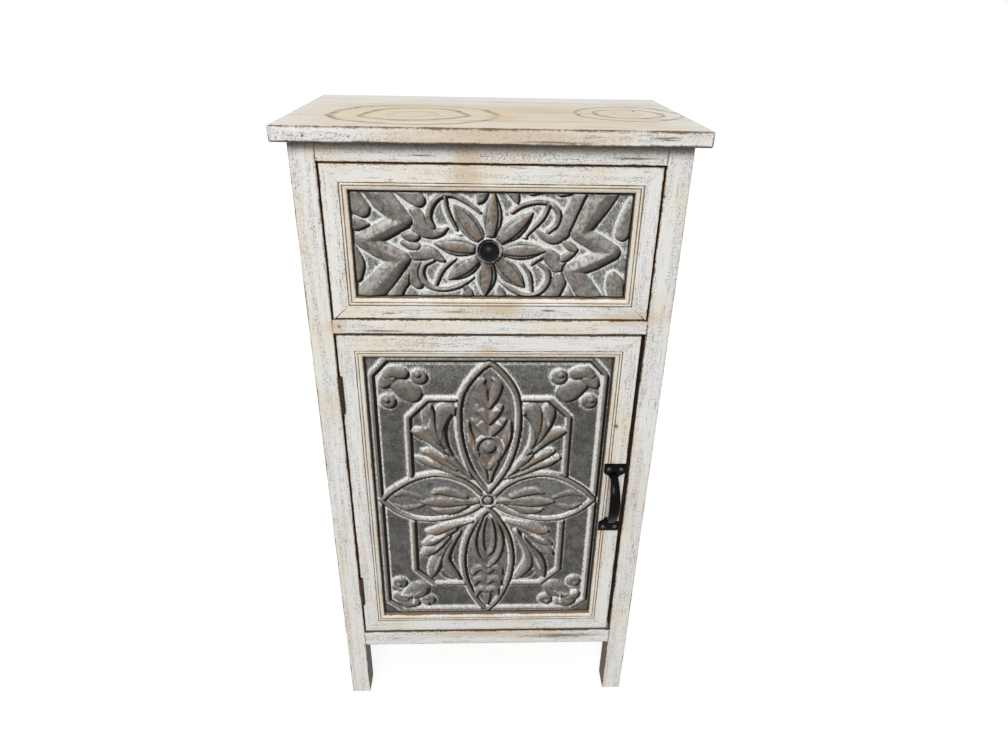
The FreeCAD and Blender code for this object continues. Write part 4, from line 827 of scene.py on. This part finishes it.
def doorRelief(look):
    s = Sheet(look)
    s.draw(look["ground"])
    for side, extras in look["corners"]:
        s.side = side
        s.draw(look["trefoil"])
        curledTips(s, look)
        s.draw(extras)
    s.side = (1, 0)
    boss = look["boss"]
    middleU, middleV = boss["middle"]
    west = [smoothPath([(a, b, 1) for a, b in half])[:, :2] for half in look["west"]]
    petal(s, np.vstack([west[0], west[1][:-1]]), look["petal"])
    for side in ("north", "south"):
        petal(s, closedOutline(look[side], middleU), look["petal"])
    s.draw(look["leaves"])
    # the low ground grows paler towards the top of the field
    s.over("wash", .26 * clamp(1.6 - s.vGrid / 150) * (s.height < .3))
    away = np.hypot(s.uGrid - middleU, s.vGrid - middleV)
    chalkReach, chalk = boss["chalky"]
    s.over("wash", chalk * clamp(1 - away / chalkReach) * (s.height < .7))
    (dish, low), (ring, ringHalf, ringHeight), (tanReach, tan) = boss["dish"], boss["ring"], boss["tan"]
    s.put(away < dish, height=np.maximum(low, ringHeight * dome((away - ring) / ringHalf, .6)),
          tan=tan * (away < tanReach))
    bead, beadHalf, beadHeight = boss["bead"]
    s.put(away < bead, height=beadHeight * dome(away / beadHalf, .5))
    for field in ("wash", "dark"):
        within, place, half, top = boss[field]
        s.put(away < within, **{field: band(away - place, half, top)})
    return s


# the drawer's sheet, as the door's
drawerLook = {
    "origin": (-150.0, 742.0), "unit": 5.0, "step": 3.8, "extent": (-12, 1508, -12, 606), "mirror": False,
    "sight": (-144.8, 144.8, 623.1, 737.0), "rub": 1.0, "dust": 0.4, "veil": 1.15, "model": 1.1,
    # plump leaves fill the ground, with narrow channels between them
    "ground": (
        ("leaf", (((62, 20, 55), (70, 90, 60), (90, 130, 36)), ((10, 190, 40), (60, 200, 34), (110, 215, 22)),
                  ((22, 330, 26), (40, 410, 40), (30, 480, 34)), ((20, 580, 40), (36, 590, 30)),
                  ((262, 10, 26), (320, 30, 46), (372, 74, 38)),
                  ((352, 140, 36), (374, 196, 54), (430, 238, 36), (482, 238, 20), (514, 216, 8)),
                  ((296, 252, 20), (330, 262, 32), (356, 262, 20)), ((400, 600, 40), (470, 602, 30)),
                  ((286, 296, 14), (320, 308, 24), (356, 318, 26)),
                  ((330, 372, 34), (382, 350, 42), (440, 356, 34), (494, 390, 9)),
                  ((346, 420, 46), (330, 470, 44), (356, 520, 30)),
                  ((300, 470, 40), (240, 530, 54), (220, 590, 50))), 2.3, .5, .55, .42),
        ("leaf", (((1290, 0, 30), (1226, 50, 58), (1180, 124, 52), (1146, 196, 46), (1080, 262, 34),
                   (1020, 256, 20), (986, 228, 8)),
                  ((1130, 288, 12), (1160, 308, 24), (1186, 326, 18)), ((1500, 300, 30), (1486, 350, 24)),
                  ((1180, 344, 12), (1150, 360, 22), (1120, 380, 24)), ((1500, 480, 40), (1490, 540, 30)),
                  ((1110, 420, 46), (1074, 380, 44), (1030, 348, 28), (988, 378, 16), (960, 408, 6)),
                  ((1120, 470, 40), (1106, 524, 40), (1080, 580, 40)), ((1100, 20, 30), (1140, 10, 30)),
                  ((1180, 600, 40), (1196, 540, 34), (1176, 500, 20)), ((950, 20, 26), (1000, 10, 24)),
                  ((1490, 90, 50), (1452, 160, 42), (1430, 240, 38)),
                  ((1400, 470, 26), (1420, 520, 50), (1440, 590, 50))), 2.3, .5, .55, .42),
        ("leaf", (((702, 20, 34), (694, 58, 26), (676, 84, 8)), ((850, 18, 32), (866, 52, 22), (878, 84, 7)),
                  ((622, 600, 36), (622, 560, 24), (604, 530, 8)), ((806, 600, 30), (800, 560, 20), (790, 535, 7)),
                  ((590, 250, 14), (560, 262, 10)), ((900, 250, 14), (925, 262, 10))), 2.0, .15, .5, .5)),
    # folded ribbons
    "ribbons": (((130, -20, 66), (196, 74, 64), (296, 180, 46), (190, 232, 52), (86, 285, 48), (170, 335, 54),
                 (280, 386, 46), (196, 474, 64), (90, 590, 70)),
                ((1352, -20, 70), (1288, 94, 66), (1206, 240, 46), (1300, 290, 52), (1386, 340, 48),
                 (1290, 390, 52), (1178, 440, 46), (1236, 520, 60), (1290, 600, 64))),
    # scrolls and their stems
    "scrolls": (((690, 134, 8), (620, 82, 12), (545, 46, 13), (480, 56, 14), (436, 105, 16), (424, 165, 16),
                 (446, 212, 12)),
                ((850, 132, 8), (905, 94, 12), (990, 76, 13), (1056, 92, 14), (1090, 134, 16), (1084, 190, 14),
                 (1040, 232, 10)),
                ((650, 480, 8), (580, 528, 13), (490, 550, 14), (412, 530, 16), (378, 470, 16), (392, 415, 14),
                 (440, 388, 10)),
                ((790, 490, 8), (850, 545, 13), (935, 580, 13), (1010, 562, 15), (1052, 500, 16), (1044, 440, 14),
                 (1000, 404, 8)),
                ((508, 58, 9), (522, 130, 10), (566, 222, 8)), ((1038, 92, 12), (1008, 160, 12), (930, 246, 8)),
                ((556, 378, 8), (490, 440, 11), (452, 522, 9)), ((905, 400, 8), (950, 462, 11), (966, 552, 10))),
    # flower: its middle, how far it clears the ground and how softly, where its leaves start, their half width and
    # their tips; the ring round the knob, its radius and half width
    "middle": (735, 335), "clear": (110, 30), "start": 52, "half": 50, "ring": (65, 9),
    "tips": ((760, 36), (958, 130), (1036, 330), (925, 536), (715, 582), (516, 494), (448, 298), (552, 92)),
}


def drawerRelief(look):
    s = Sheet(look)
    s.draw(look["ground"])
    for path in look["ribbons"]:
        q = s.reach(path, True)
        s.keep(clamp((q - 1.0) / .3), "height")
        s.over("height", 3.6 * clamp(1 - q) ** .62)
        s.put(q < 1, tan=.85 * band(q - .22, .3))
        s.keep(q > 1, "dark", "wash")
    for path in look["scrolls"]:
        s.lift(path, 2.6, .4)
    middleU, middleV = look["middle"]
    u, v = s.uGrid - middleU, s.vGrid - middleV
    clear, soft = look["clear"]
    s.keep(clamp((np.hypot(u, v * 1.05) - clear) / soft), "height")
    for tip in look["tips"]:
        away = np.array(tip, float) - look["middle"]
        length = np.hypot(*away)
        along = (u * away[0] + v * away[1]) / length
        across = (u * -away[1] + v * away[0]) / length
        t = clamp((along - look["start"]) / (length - look["start"]))
        half = look["half"] * np.clip(np.sin(np.pi * clamp(t * .93 + .07)), 1e-3, 1) ** .8 + .01
        q = np.where((t > 0) & (t < 1), np.abs(across) / half, 9)
        s.keep(clamp((q - 1.05) / .35), "height")
        s.over("wash", band(q - 1.25, .2, 1.4))
        s.put(q < 1, wash=0, height=np.maximum(3.0 * dome(q, .55) - .9 * band(q - .64, .14), .05),
              tan=.95 * clamp(1.4 - q * 2.2), dark=0)
        # painted shadow below each leaf of the flower, and painted shade in its middle crease
        s.over("dark", .7 * band(q - 1.05, .1, 1.3) * (across * (1 if away[0] > 0 else -1) > 0))
        s.put(q < 1, dark=.75 * band(q - .64, .1, 1.2))
    away = np.hypot(u, v)
    s.put(away < 84, height=np.maximum(s.height * (away > 76), 1.0))
    s.put(away < 70, tan=0)
    radius, half = look["ring"]
    ring = dome((away - radius) / half)
    s.over("height", 2.2 * ring ** .6)
    s.over("wash", .9 * ring * (s.vGrid < 345))
    # the relief dies away under the moulding
    edge = np.minimum(np.minimum(s.uGrid - 22, 1478 - s.uGrid), np.minimum(s.vGrid - 22, 598 - s.vGrid))
    s.height *= np.clip(edge / 14, .08, 1)
    return s


# finish of both sheets, hex colours and mm
tinLook = {
    "zinc": "#464442", "zincPale": "#8c8a86", "patina": "#846a50", "veil": "#abaaa7", "wash": "#e3e2de",
    # black: painted shade with soot, below the relief and along the moulding
    "thinWash": "#a5a4a0", "black": "#080706", "roughness": 0.5, "metallic": 0.3, "specular": 0.1,
    # clouds of oxide, wiped patches, grit of the surface, brush marks of the wash across and along
    "cloud": 13, "patch": 6, "grit": 1.9, "brush": (2.0, 3.8),
    # shares cut out of the noises: from and to where, and the shares there
    "cuts": {"ground": (.4, .7, 0, .26), "clouds": (.36, .7, 0, .3), "rust": (.4, .64, 1.4, .35),
             "wiped": (.36, .58, .12), "marks": (.58, .66), "specks": (.62, .7, 0, .5)},
    # wash where it is thin and where it lies thick, and painted shade with soot: how far the noise breaks each,
    # from and to where, and the shares there
    "broken": {"thin": (2.6, 1.35, 2.1, 0, .75), "solid": (3.0, 1.98, 2.52, 0, .96), "soot": (.9, .6, 1.3, 0, .94)},
}


def sheetMaterial(name, look):
    material, node = newMaterial(name)
    spot = node("TexCoord", out="Object")
    tan, wash, dark, veil = (node("Attribute", out="Fac", attribute_name=key) for key in
                             ("tan", "wash", "dark", "veil"))
    cloud = node("TexNoise", {"Vector": spot, "Scale": 1000 / look["cloud"], "Detail": 4, "Roughness": .6})
    grit = node("TexNoise", {"Vector": spot, "Scale": 1000 / look["grit"], "Detail": 4, "Roughness": .7})
    wide, tall = look["brush"]
    moved = node("Mapping", {"Vector": spot, "Scale": (1000 / wide, 1000 / wide, 1000 / tall)})
    brush = node("TexNoise", {"Vector": moved, "Scale": 1, "Detail": 5, "Roughness": .75, "Distortion": .8})
    patch = node("TexNoise", {"Vector": spot, "Scale": 1000 / look["patch"], "Detail": 3, "Roughness": .6,
                              "Distortion": .6})
    cuts = look["cuts"]
    ground = node("MapRange", grit, *cuts["ground"], **smoothStep)
    clouds = node("MapRange", cloud, *cuts["clouds"], **smoothStep)
    rust = node("MapRange", cloud, *cuts["rust"], **smoothStep)
    rust = node("Math", tan, rust, operation="MULTIPLY", use_clamp=True)
    wiped = node("Math", veil, node("MapRange", patch, *cuts["wiped"]), operation="MULTIPLY")
    marks = node("Math", wiped, node("MapRange", brush, *cuts["marks"]), operation="MULTIPLY")
    specks = node("Math", node("MapRange", grit, *cuts["specks"]), veil, operation="SUBTRACT", use_clamp=True)
    # the wash is solid where it lies thick, broken by the brush where it is thin; the grit breaks the painted
    # shade and soot
    washed, shadedAndSooted = node("MapRange", wash, .02, .3), node("MapRange", dark, .02, .2)
    broken = []
    for key, noise, field, present, edge in (("thin", brush, wash, washed, {}),
                                             ("solid", brush, wash, washed, smoothStep),
                                             ("soot", grit, dark, shadedAndSooted, smoothStep)):
        strength, *cut = look["broken"][key]
        share = node("Math", noise, strength, field, operation="MULTIPLY_ADD")
        share = node("MapRange", share, *cut, **edge)
        broken.append(node("Math", share, present, operation="MULTIPLY"))
    thin, solid, soot = broken
    colour = hexColour(look["zinc"])
    for code, amount in ((look["zincPale"], ground), (look["zincPale"], clouds), (look["veil"], wiped),
                         (look["patina"], rust), (look["wash"], specks), (look["wash"], marks),
                         (look["thinWash"], thin), (look["wash"], solid), (look["black"], soot)):
        colour = node("Mix", {0: amount, 6: colour, 7: hexColour(code)}, out=2, data_type="RGBA")
    covered = node("Math", solid, soot, operation="MAXIMUM")
    metallic = node("MapRange", covered, 0, 1, look["metallic"], 0)
    roughness = node("MapRange", grit, .3, .7, look["roughness"] + .12, look["roughness"] - .08)
    return surfaced(material, node, {"Base Color": colour, "Metallic": metallic, "Roughness": roughness,
                                     "Specular IOR Level": look["specular"]},
                    node("Math", grit, cloud, operation="ADD"), .4, .0004)


# hot-dipped zinc sheet, pressed, limewashed and wiped: dull grey crests going brown, white in the hollows, and
# black painted shade with soot below them
pressedTin = sheetMaterial("galvanisedSheet", tinLook)


def sheetPiece(body, sheet, look, face=-108.0, thick=0.6):
    # the drawn grid becomes a thin closed sheet, its back in one plane; mm
    height, tan, wash, dark, veil = weathered(sheet, look)
    u, v = sheet.uGrid, sheet.vGrid
    if look["mirror"]:
        u = np.hstack([u, 2 * u[:, -1:] - u[:, -2::-1]])
        v = np.hstack([v, v[:, -2::-1]])
    x, z = look["origin"][0] + u / look["unit"], look["origin"][1] - v / look["unit"]
    # painted shadow of the moulding along the sheet's edges, most of it at the top and on the left
    left, right, low, high = look["sight"]
    edge = np.minimum(np.minimum(x - left, (right - x) * 1.7), np.minimum(high - z, (z - low) * 1.7))
    dark = np.maximum(dark, clamp(1.6 - edge / 1.7))
    wash = wash * clamp(edge / 2 - .8)
    front = np.stack([x, face - height, z], -1).reshape(-1, 3)
    index = np.arange(height.size).reshape(height.shape)
    quads = np.stack([index[:-1, :-1], index[1:, :-1], index[1:, 1:], index[:-1, 1:]], -1).reshape(-1, 4)
    rim = np.concatenate([index[0, :-1], index[:-1, -1], index[-1, :0:-1], index[:0:-1, 0]])
    back = front[rim].copy()
    back[:, 1] = face + thick
    behind = np.arange(len(rim)) + len(front)
    sides = np.stack([rim, np.roll(rim, -1), np.roll(behind, -1), behind], -1)
    faces = quads.tolist() + sides.tolist() + [behind.tolist()]
    fields = {key: np.concatenate([f.ravel(), np.zeros(len(rim))]) for key, f in
              (("tan", tan), ("wash", wash), ("dark", dark), ("veil", veil))}
    makePiece(body + "_pressed_sheet", np.vstack([front, back]), faces, pressedTin, body,
              (body + "_metal_panel",), fields, 180)


sheetPiece("door", doorRelief(doorLook), doorLook)
sheetPiece("drawer", drawerRelief(drawerLook), drawerLook)
print("pressed sheets made")

# hardware: base colour, second tone, mm of its grain, from and to where, roughness, metallic, specular level
hardwareLook = {
    # cast iron under black enamel: nearly black, soft highlights on every edge
    "enamelledIron": ("#030303", "#070706", 3, .4, .7, .17, 0, .08),
    # the same enamel, polished on the round heads: a small bright highlight
    "polishedEnamel": ("#080808", "#121211", 3, .4, .7, .15, 0, 1),
    # the same enamel worn satin by hands: a broad soft highlight
    "satinIron": ("#030303", "#060606", 3, .4, .7, .34, 0, .16),
    # antique bronze plating on steel: dark brown, brighter where it is rubbed
    "antiqueBronze": ("#35281e", "#6a523c", 2, .5, .75, .42, .85, .5),
    # bright zinc plating on steel: pale grey, slightly clouded
    "zincPlatedSteel": ("#a9a9a6", "#77736c", 1.3, .35, .7, .35, 1, .5),
    # moulded polystyrene of a cupboard catch: off-white, satin
    "mouldedPlastic": ("#e7e3d8", "#d3cdbd", 3, .3, .8, .45, 0, .5),
    # pressed fibreboard: brown, dull, finely flecked
    "fibreboard": ("#9a7148", "#7d5835", 1.7, .35, .65, .78, 0, .5),
    # planed softwood with its grain running front to back
    "planedPineDeep": ("#d9bf94", "#b98f5e", 4, .4, .75, .65, 0, .5),
    # the same with its grain running from side to side
    "planedPineWide": ("#d9bf94", "#b98f5e", 4, .4, .75, .65, 0, .5),
}
grainRun = {"planedPineDeep": (1, .05, 1), "planedPineWide": (.05, 1, 1)}
finishes = {}
for name, (first, second, size, low, high, rough, metallic, specular) in hardwareLook.items():
    material, node = newMaterial(name)
    scale = [1000 / size * run for run in grainRun.get(name, (1, 1, 1))]
    moved = node("Mapping", {"Vector": node("TexCoord", out="Object"), "Scale": scale})
    grain = node("TexNoise", {"Vector": moved, "Scale": 1, "Detail": 4, "Roughness": .6})
    colour = node("MapRange", grain, low, high, **smoothStep)
    colour = node("Mix", {0: colour, 6: hexColour(first), 7: hexColour(second)}, out=2, data_type="RGBA")
    gloss = node("MapRange", grain, .3, .7, rough + .07, rough - .05)
    finishes[name] = surfaced(material, node, {"Base Color": colour, "Metallic": metallic, "Roughness": gloss,
                                               "Specular IOR Level": specular}, grain, .25, .0001)
print("metal, board and plastic finishes made")

# turned knob, mm: its axis, the ball's middle, half depth and radius, and the stem's rows of reach from the sheet's
# face and radius
knobLook = {
    "axis": (-3.0, 680.05), "sheet": -108.0, "ball": (-129.1, 9.4, 10.4), "around": 64,
    "stem": ((0, 5.5), (.9, 5.5), (1.4, 5.2), (1.7, 4.5), (2.4, 3.95), (3.6, 3.8), (9, 3.8), (11, 4.0),
             (12.1, 4.5)),
}


def knobPiece(look):
    ballY, halfDepth, radius = look["ball"]
    turns = np.radians(np.linspace(28, 178, 28))
    profile = list(look["stem"])
    profile += [(look["sheet"] - ballY - halfDepth * math.cos(t), radius * math.sin(t)) for t in turns]
    count = look["around"]
    angle = np.arange(count) * 2 * math.pi / count
    points = [(look["axis"][0] + r * math.cos(a), look["sheet"] - y, look["axis"][1] + r * math.sin(a))
              for y, r in profile for a in angle]
    makePiece("drawer_knob_turned", points, ringFaces(0, len(profile), count), finishes["satinIron"], "drawer",
              ("drawer_knob",), None, 50)


knobPiece(knobLook)

# cast pull, mm
pullLook = {
    "middle": (154.75, 356.3), "front": -115.5, "half": 51.75, "thick": 2.5, "bevel": 0.8,
    # half of a plate's outline from its outer edge inwards: half width, distance from the pull's end
    "plate": ((12.5, 0), (13.25, .75), (13.25, 11.8), (12.7, 13.3), (11.0, 14.6), (8.6, 15.8), (6.7, 17.4),
              (5.4, 20.6)),
    # bow: outer and inner reach and half length; half width in the middle and at its ends; squareness of its
    # section; the share of its half where a foot begins, and by how much it widens and closes up there
    "outer": (27.0, 37.75), "inner": (20.0, 31.75), "width": (6.75, 4.3), "square": 0.62, "rows": 49, "around": 28,
    "foot": (.86, 2.8, .12),
}


def pullPiece(look):
    x0, z0 = look["middle"]
    points, faces = [], []
    for end in (1, -1):
        half = look["plate"]
        outline = np.array([(-w, d) for w, d in half[::-1]] + [(w, d) for w, d in half])
        before, after = np.roll(outline, 1, 0) - outline, np.roll(outline, -1, 0) - outline
        before /= np.linalg.norm(before, axis=1, keepdims=True)
        after /= np.linalg.norm(after, axis=1, keepdims=True)
        inward = before - after
        inward = np.stack([-inward[:, 1], inward[:, 0]], -1)
        inward /= np.linalg.norm(inward, axis=1, keepdims=True)
        inward *= np.sign(((outline.mean(0) - outline) * inward).sum(1, keepdims=True))
        bevel, thick = look["bevel"], look["thick"]
        rings = ((0, 0), (0, thick - bevel), (bevel * .35, thick - bevel * .3), (bevel, thick))
        start = len(points)
        for inset, rise in rings:
            for w, d in outline + inward * inset:
                points.append((x0 + w * end, look["front"] - rise, z0 + end * (look["half"] - d)))
        faces += ringFaces(start, len(rings), len(outline), flip=True)
    start = len(points)
    (outerReach, outerHalf), (innerReach, innerHalf) = look["outer"], look["inner"]
    outerBow = (outerHalf ** 2 + outerReach ** 2) / 2 / outerReach
    innerBow = (innerHalf ** 2 + innerReach ** 2) / 2 / innerReach
    wide, narrow = look["width"]
    footStart, footSpread, footClose = look["foot"]
    for share in np.linspace(-1, 1, look["rows"]):
        outer, inner = share * math.asin(outerHalf / outerBow), share * math.asin(innerHalf / innerBow)
        outside = np.array([look["front"] - outerReach + outerBow * (1 - math.cos(outer)),
                            z0 + outerBow * math.sin(outer)])
        inside = np.array([look["front"] - innerReach + innerBow * (1 - math.cos(inner)),
                           z0 + innerBow * math.sin(inner)])
        foot = max(0, abs(share) - footStart) / (1 - footStart)
        halfWidth = wide - (wide - narrow) * abs(share) ** 1.6 + footSpread * foot ** 2
        inside = inside + (inside - outside) * footClose * foot
        for angle in np.arange(look["around"]) * 2 * math.pi / look["around"]:
            c, s = math.cos(angle), math.sin(angle)
            across = math.copysign(abs(c) ** look["square"], c) * halfWidth
            through = (math.copysign(abs(s) ** look["square"], s) + 1) / 2
            y, z = inside + (outside - inside) * through
            points.append((x0 + across, min(y, look["front"] - .2), z))
    faces += ringFaces(start, look["rows"], look["around"], flip=True)
    makePiece("pull_handle_cast", points, faces, finishes["enamelledIron"], "door", ("pull_handle",),
              None, 38)


pullPiece(pullLook)
print("knob and pull made")

# heads of screws and nails: node, body, slot, finish, radius, height, recess length and width, turn, seats; mm
pullX, pullZ = pullLook["middle"]
hingeRows = [z + s * 13 for z in mouldingLook["hinges"] for s in (-1, 1)]
headLook = {
    "pull_screw_heads": (
        "pull_screws", "door", "black_iron", "polishedEnamel", 2.7, 1.4, 2.6, .5, (90, 0, 0),
        [(pullX + s * 7.5, -118.0, pullZ + t * 44.75) for s in (-1, 1) for t in (-1, 1)]),
    "hinge_frame_screw_heads": (
        "hinge_frame_screws", "case", "bronze", "antiqueBronze", 2.4, .35, 2.2, .5, (0, 90, 0),
        [(-172.5, -106.4, z) for z in hingeRows]),
    "hinge_door_screw_heads": (
        "hinge_door_screws", "door", "bronze", "antiqueBronze", 2.4, .35, 2.2, .5, (0, -90, 0),
        [(-171.5, -106.4, z) for z in hingeRows]),
    "back_panel_nail_heads": (
        "back_panel_nails", "case", "steel", "zincPlatedSteel", 2.0, .45, 0, 0, (-90, 0, 0),
        [(x, 142.0, z) for x in (-163, 0, 163) for z in (107.51, 774.49)]),
}
headSizes = ("Head Radius", "Head Height", "Recess Length", "Recess Width")


def headTree():
    # a flattened dome with a cross cut into it, set on each point
    tree = bpy.data.node_groups.new("fastenerHeads", "GeometryNodeTree")
    tree.interface.new_socket("Geometry", in_out="INPUT", socket_type="NodeSocketGeometry")
    for label in headSizes:
        tree.interface.new_socket(label, in_out="INPUT", socket_type="NodeSocketFloat")
    tree.interface.new_socket("Turn", in_out="INPUT", socket_type="NodeSocketVector")
    tree.interface.new_socket("Material", in_out="INPUT", socket_type="NodeSocketMaterial")
    tree.interface.new_socket("Geometry", in_out="OUTPUT", socket_type="NodeSocketGeometry")
    node = partial(addNode, tree)
    given = node("NodeGroupInput").node.outputs
    dome = node("GeometryNodeMeshUVSphere", {"Segments": 28, "Rings": 14, "Radius": given["Head Radius"]})
    flat = node("ShaderNodeMath", given["Head Height"], given["Head Radius"], operation="DIVIDE")
    head = node("GeometryNodeTransform", {"Geometry": dome, "Scale": node("CombineXYZ", 1, 1, flat)})
    lift = node("CombineXYZ", {2: given["Head Height"]})
    long, wide = headSizes[2:]
    for first, second in ((long, wide), (wide, long)):
        size = node("CombineXYZ", given[first], given[second], given["Head Height"])
        bar = node("GeometryNodeMeshCube", {"Size": size})
        bar = node("GeometryNodeTransform", {"Geometry": bar, "Translation": lift})
        head = node("GeometryNodeMeshBoolean", head, bar, operation="DIFFERENCE", solver="EXACT")
    placed = node("GeometryNodeInstanceOnPoints", {"Points": given["Geometry"], "Instance": head,
                                                   "Rotation": given["Turn"]})
    solid = node("GeometryNodeRealizeInstances", {"Geometry": placed})
    solid = node("GeometryNodeSetMaterial", {"Geometry": solid, "Material": given["Material"]})
    node("NodeGroupOutput", {"Geometry": solid})
    return tree


heads = headTree()
inputs = {item.name: item.identifier for item in heads.interface.items_tree if item.in_out == "INPUT"}
for name, (replaced, body, slot, finish, *sizes, turn, seats) in headLook.items():
    points = bpy.data.meshes.new(name + "_seats")
    points.from_pydata([[c * .001 for c in seat] for seat in seats], [], [])
    piece = addObject(name, points)
    modifier = piece.modifiers.new("heads", "NODES")
    modifier.node_group = heads
    for label, value in zip(headSizes, sizes):
        modifier[inputs[label]] = value * .001
    modifier[inputs["Turn"]] = [math.radians(a) for a in turn]
    modifier[inputs["Material"]] = finishes[finish]
    solid = bpy.data.meshes.new_from_object(piece.evaluated_get(bpy.context.evaluated_depsgraph_get()))
    piece.modifiers.clear()
    piece.data = solid
    solid.polygons.foreach_set("use_smooth", [True] * len(solid.polygons))
    solid.set_sharp_from_angle(angle=math.radians(35))
    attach(piece, body)
    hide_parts(replaced)
    print(name, len(solid.polygons), "faces")

# finishes of the pieces whose CAD shape stays; grain runs the way that each board was cut
finishOf = {
    "antiqueBronze": ("hinge_frame_leaf_upper", "hinge_frame_leaf_lower", "hinge_door_leaf_upper",
                      "hinge_door_leaf_lower", "hinge_pins"),
    "zincPlatedSteel": ("shelf_pins", "top_screws", "catch_screws", "strike_plate", "knob_screw"),
    "mouldedPlastic": ("magnetic_catch",),
    "fibreboard": ("back_panel", "door_backing_board", "drawer_backing_board"),
    "planedPineDeep": ("drawer_runner_left", "drawer_runner_right", "drawer_kicker_left", "drawer_kicker_right",
                       "floor_cleat_left", "floor_cleat_right"),
}
byNode = {name: finishes[finish] for finish, names in finishOf.items() for name in names}
for name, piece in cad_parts.items():
    piece.data.materials.clear()
    piece.data.materials.append(byNode.get(name, finishes["planedPineWide"]))
print("finishes given to the carried-over pieces")

# camera, solved from the photograph's straight edges: place in mm, focal length in pixels of a 1008 wide picture
view = {"place": (-14.619, -816.869, 896.526), "focal": 693.44, "width": 1008, "film": 36,
        "right": (0.99928356, -0.0327341, 0.01899578), "down": (0.00154426, -0.46623167, -0.88466132),
        "ahead": (0.03781503, 0.88405685, -0.46584709)}
camera = bpy.data.cameras.new("camera")
camera.lens = view["focal"] / view["width"] * view["film"]
camera.sensor_width = view["film"]
camera.clip_end = 100
cameraPiece = addObject("camera", camera)
turn = Matrix((view["right"], [-v for v in view["down"]], [-v for v in view["ahead"]])).transposed().to_4x4()
cameraPiece.matrix_world = Matrix.Translation(Vector(view["place"]) * 0.001) @ turn
bpy.context.scene.camera = cameraPiece

# level white light: a pale sky, a wide sun from the front and a little from the left, a soft box above it
light = {"sky": 0.5, "sun": 1.7, "sunTurn": (52, 0, -8), "sunSize": 22,
         "box": (0.5, 1.3), "boxPlace": (-0.4, -1.15, 1.7), "boxPower": 7, "floor": 0.2, "floorGlow": 0.86}
sun = bpy.data.lights.new("sun", "SUN")
sun.energy = light["sun"]
sun.angle = math.radians(light["sunSize"])
box = bpy.data.lights.new("softBox", "AREA")
box.shape = "RECTANGLE"
box.size, box.size_y = light["box"][1], light["box"][0]
box.energy = light["boxPower"]
toBox = Vector(light["boxPlace"]) - Vector((0, -0.1, 0.5))
for name, lamp, angles, place in (("sun", sun, [math.radians(a) for a in light["sunTurn"]], (0, 0, 0)),
                                  ("softBox", box, toBox.to_track_quat("Z", "Y").to_euler(), light["boxPlace"])):
    lampPiece = addObject(name, lamp)
    lampPiece.rotation_euler, lampPiece.location = angles, place

# white paper floor; camera, glossy and transmission rays see it and the sky as white, so the picture's ground is
# white and polished pieces reflect a white room
floorMesh = bpy.data.meshes.new("floor")
floorMesh.from_pydata([(-30, -30, 0), (30, -30, 0), (30, 30, 0), (-30, 30, 0)], [], [(0, 1, 2, 3)])
floorPiece = addObject("floor", floorMesh)
floorPaper, floorNode = newMaterial("matWhitePaper")
world = bpy.data.worlds.new("studio")
bpy.context.scene.world = world
world.use_nodes = True
world.node_tree.nodes.clear()
seen = {}
for key, node in (("sky", partial(addNode, world.node_tree)), ("floor", floorNode)):
    rays = node("LightPath").node.outputs
    seen[key] = node("Math", rays["Is Glossy Ray"], rays["Is Transmission Ray"], operation="MAXIMUM")
    seen[key] = node("Math", seen[key], rays["Is Camera Ray"], operation="MAXIMUM")
    if key == "sky":
        level = node("MapRange", seen[key], 0, 1, light["sky"], 1)
        node("OutputWorld", {"Surface": node("Background", {"Color": (1, 1, 1, 1), "Strength": level})})
    else:
        level = node("Math", seen[key], light["floorGlow"], operation="MULTIPLY")
        paper = node("BsdfDiffuse", {"Color": [light["floor"]] * 3 + [1]})
        glow = node("Emission", {"Color": (1, 1, 1, 1), "Strength": level})
        node("OutputMaterial", {"Surface": node("AddShader", paper, glow)})
floorMesh.materials.append(floorPaper)
bpy.context.scene.view_settings.view_transform = "Standard"
print("camera, lamps and floor set")
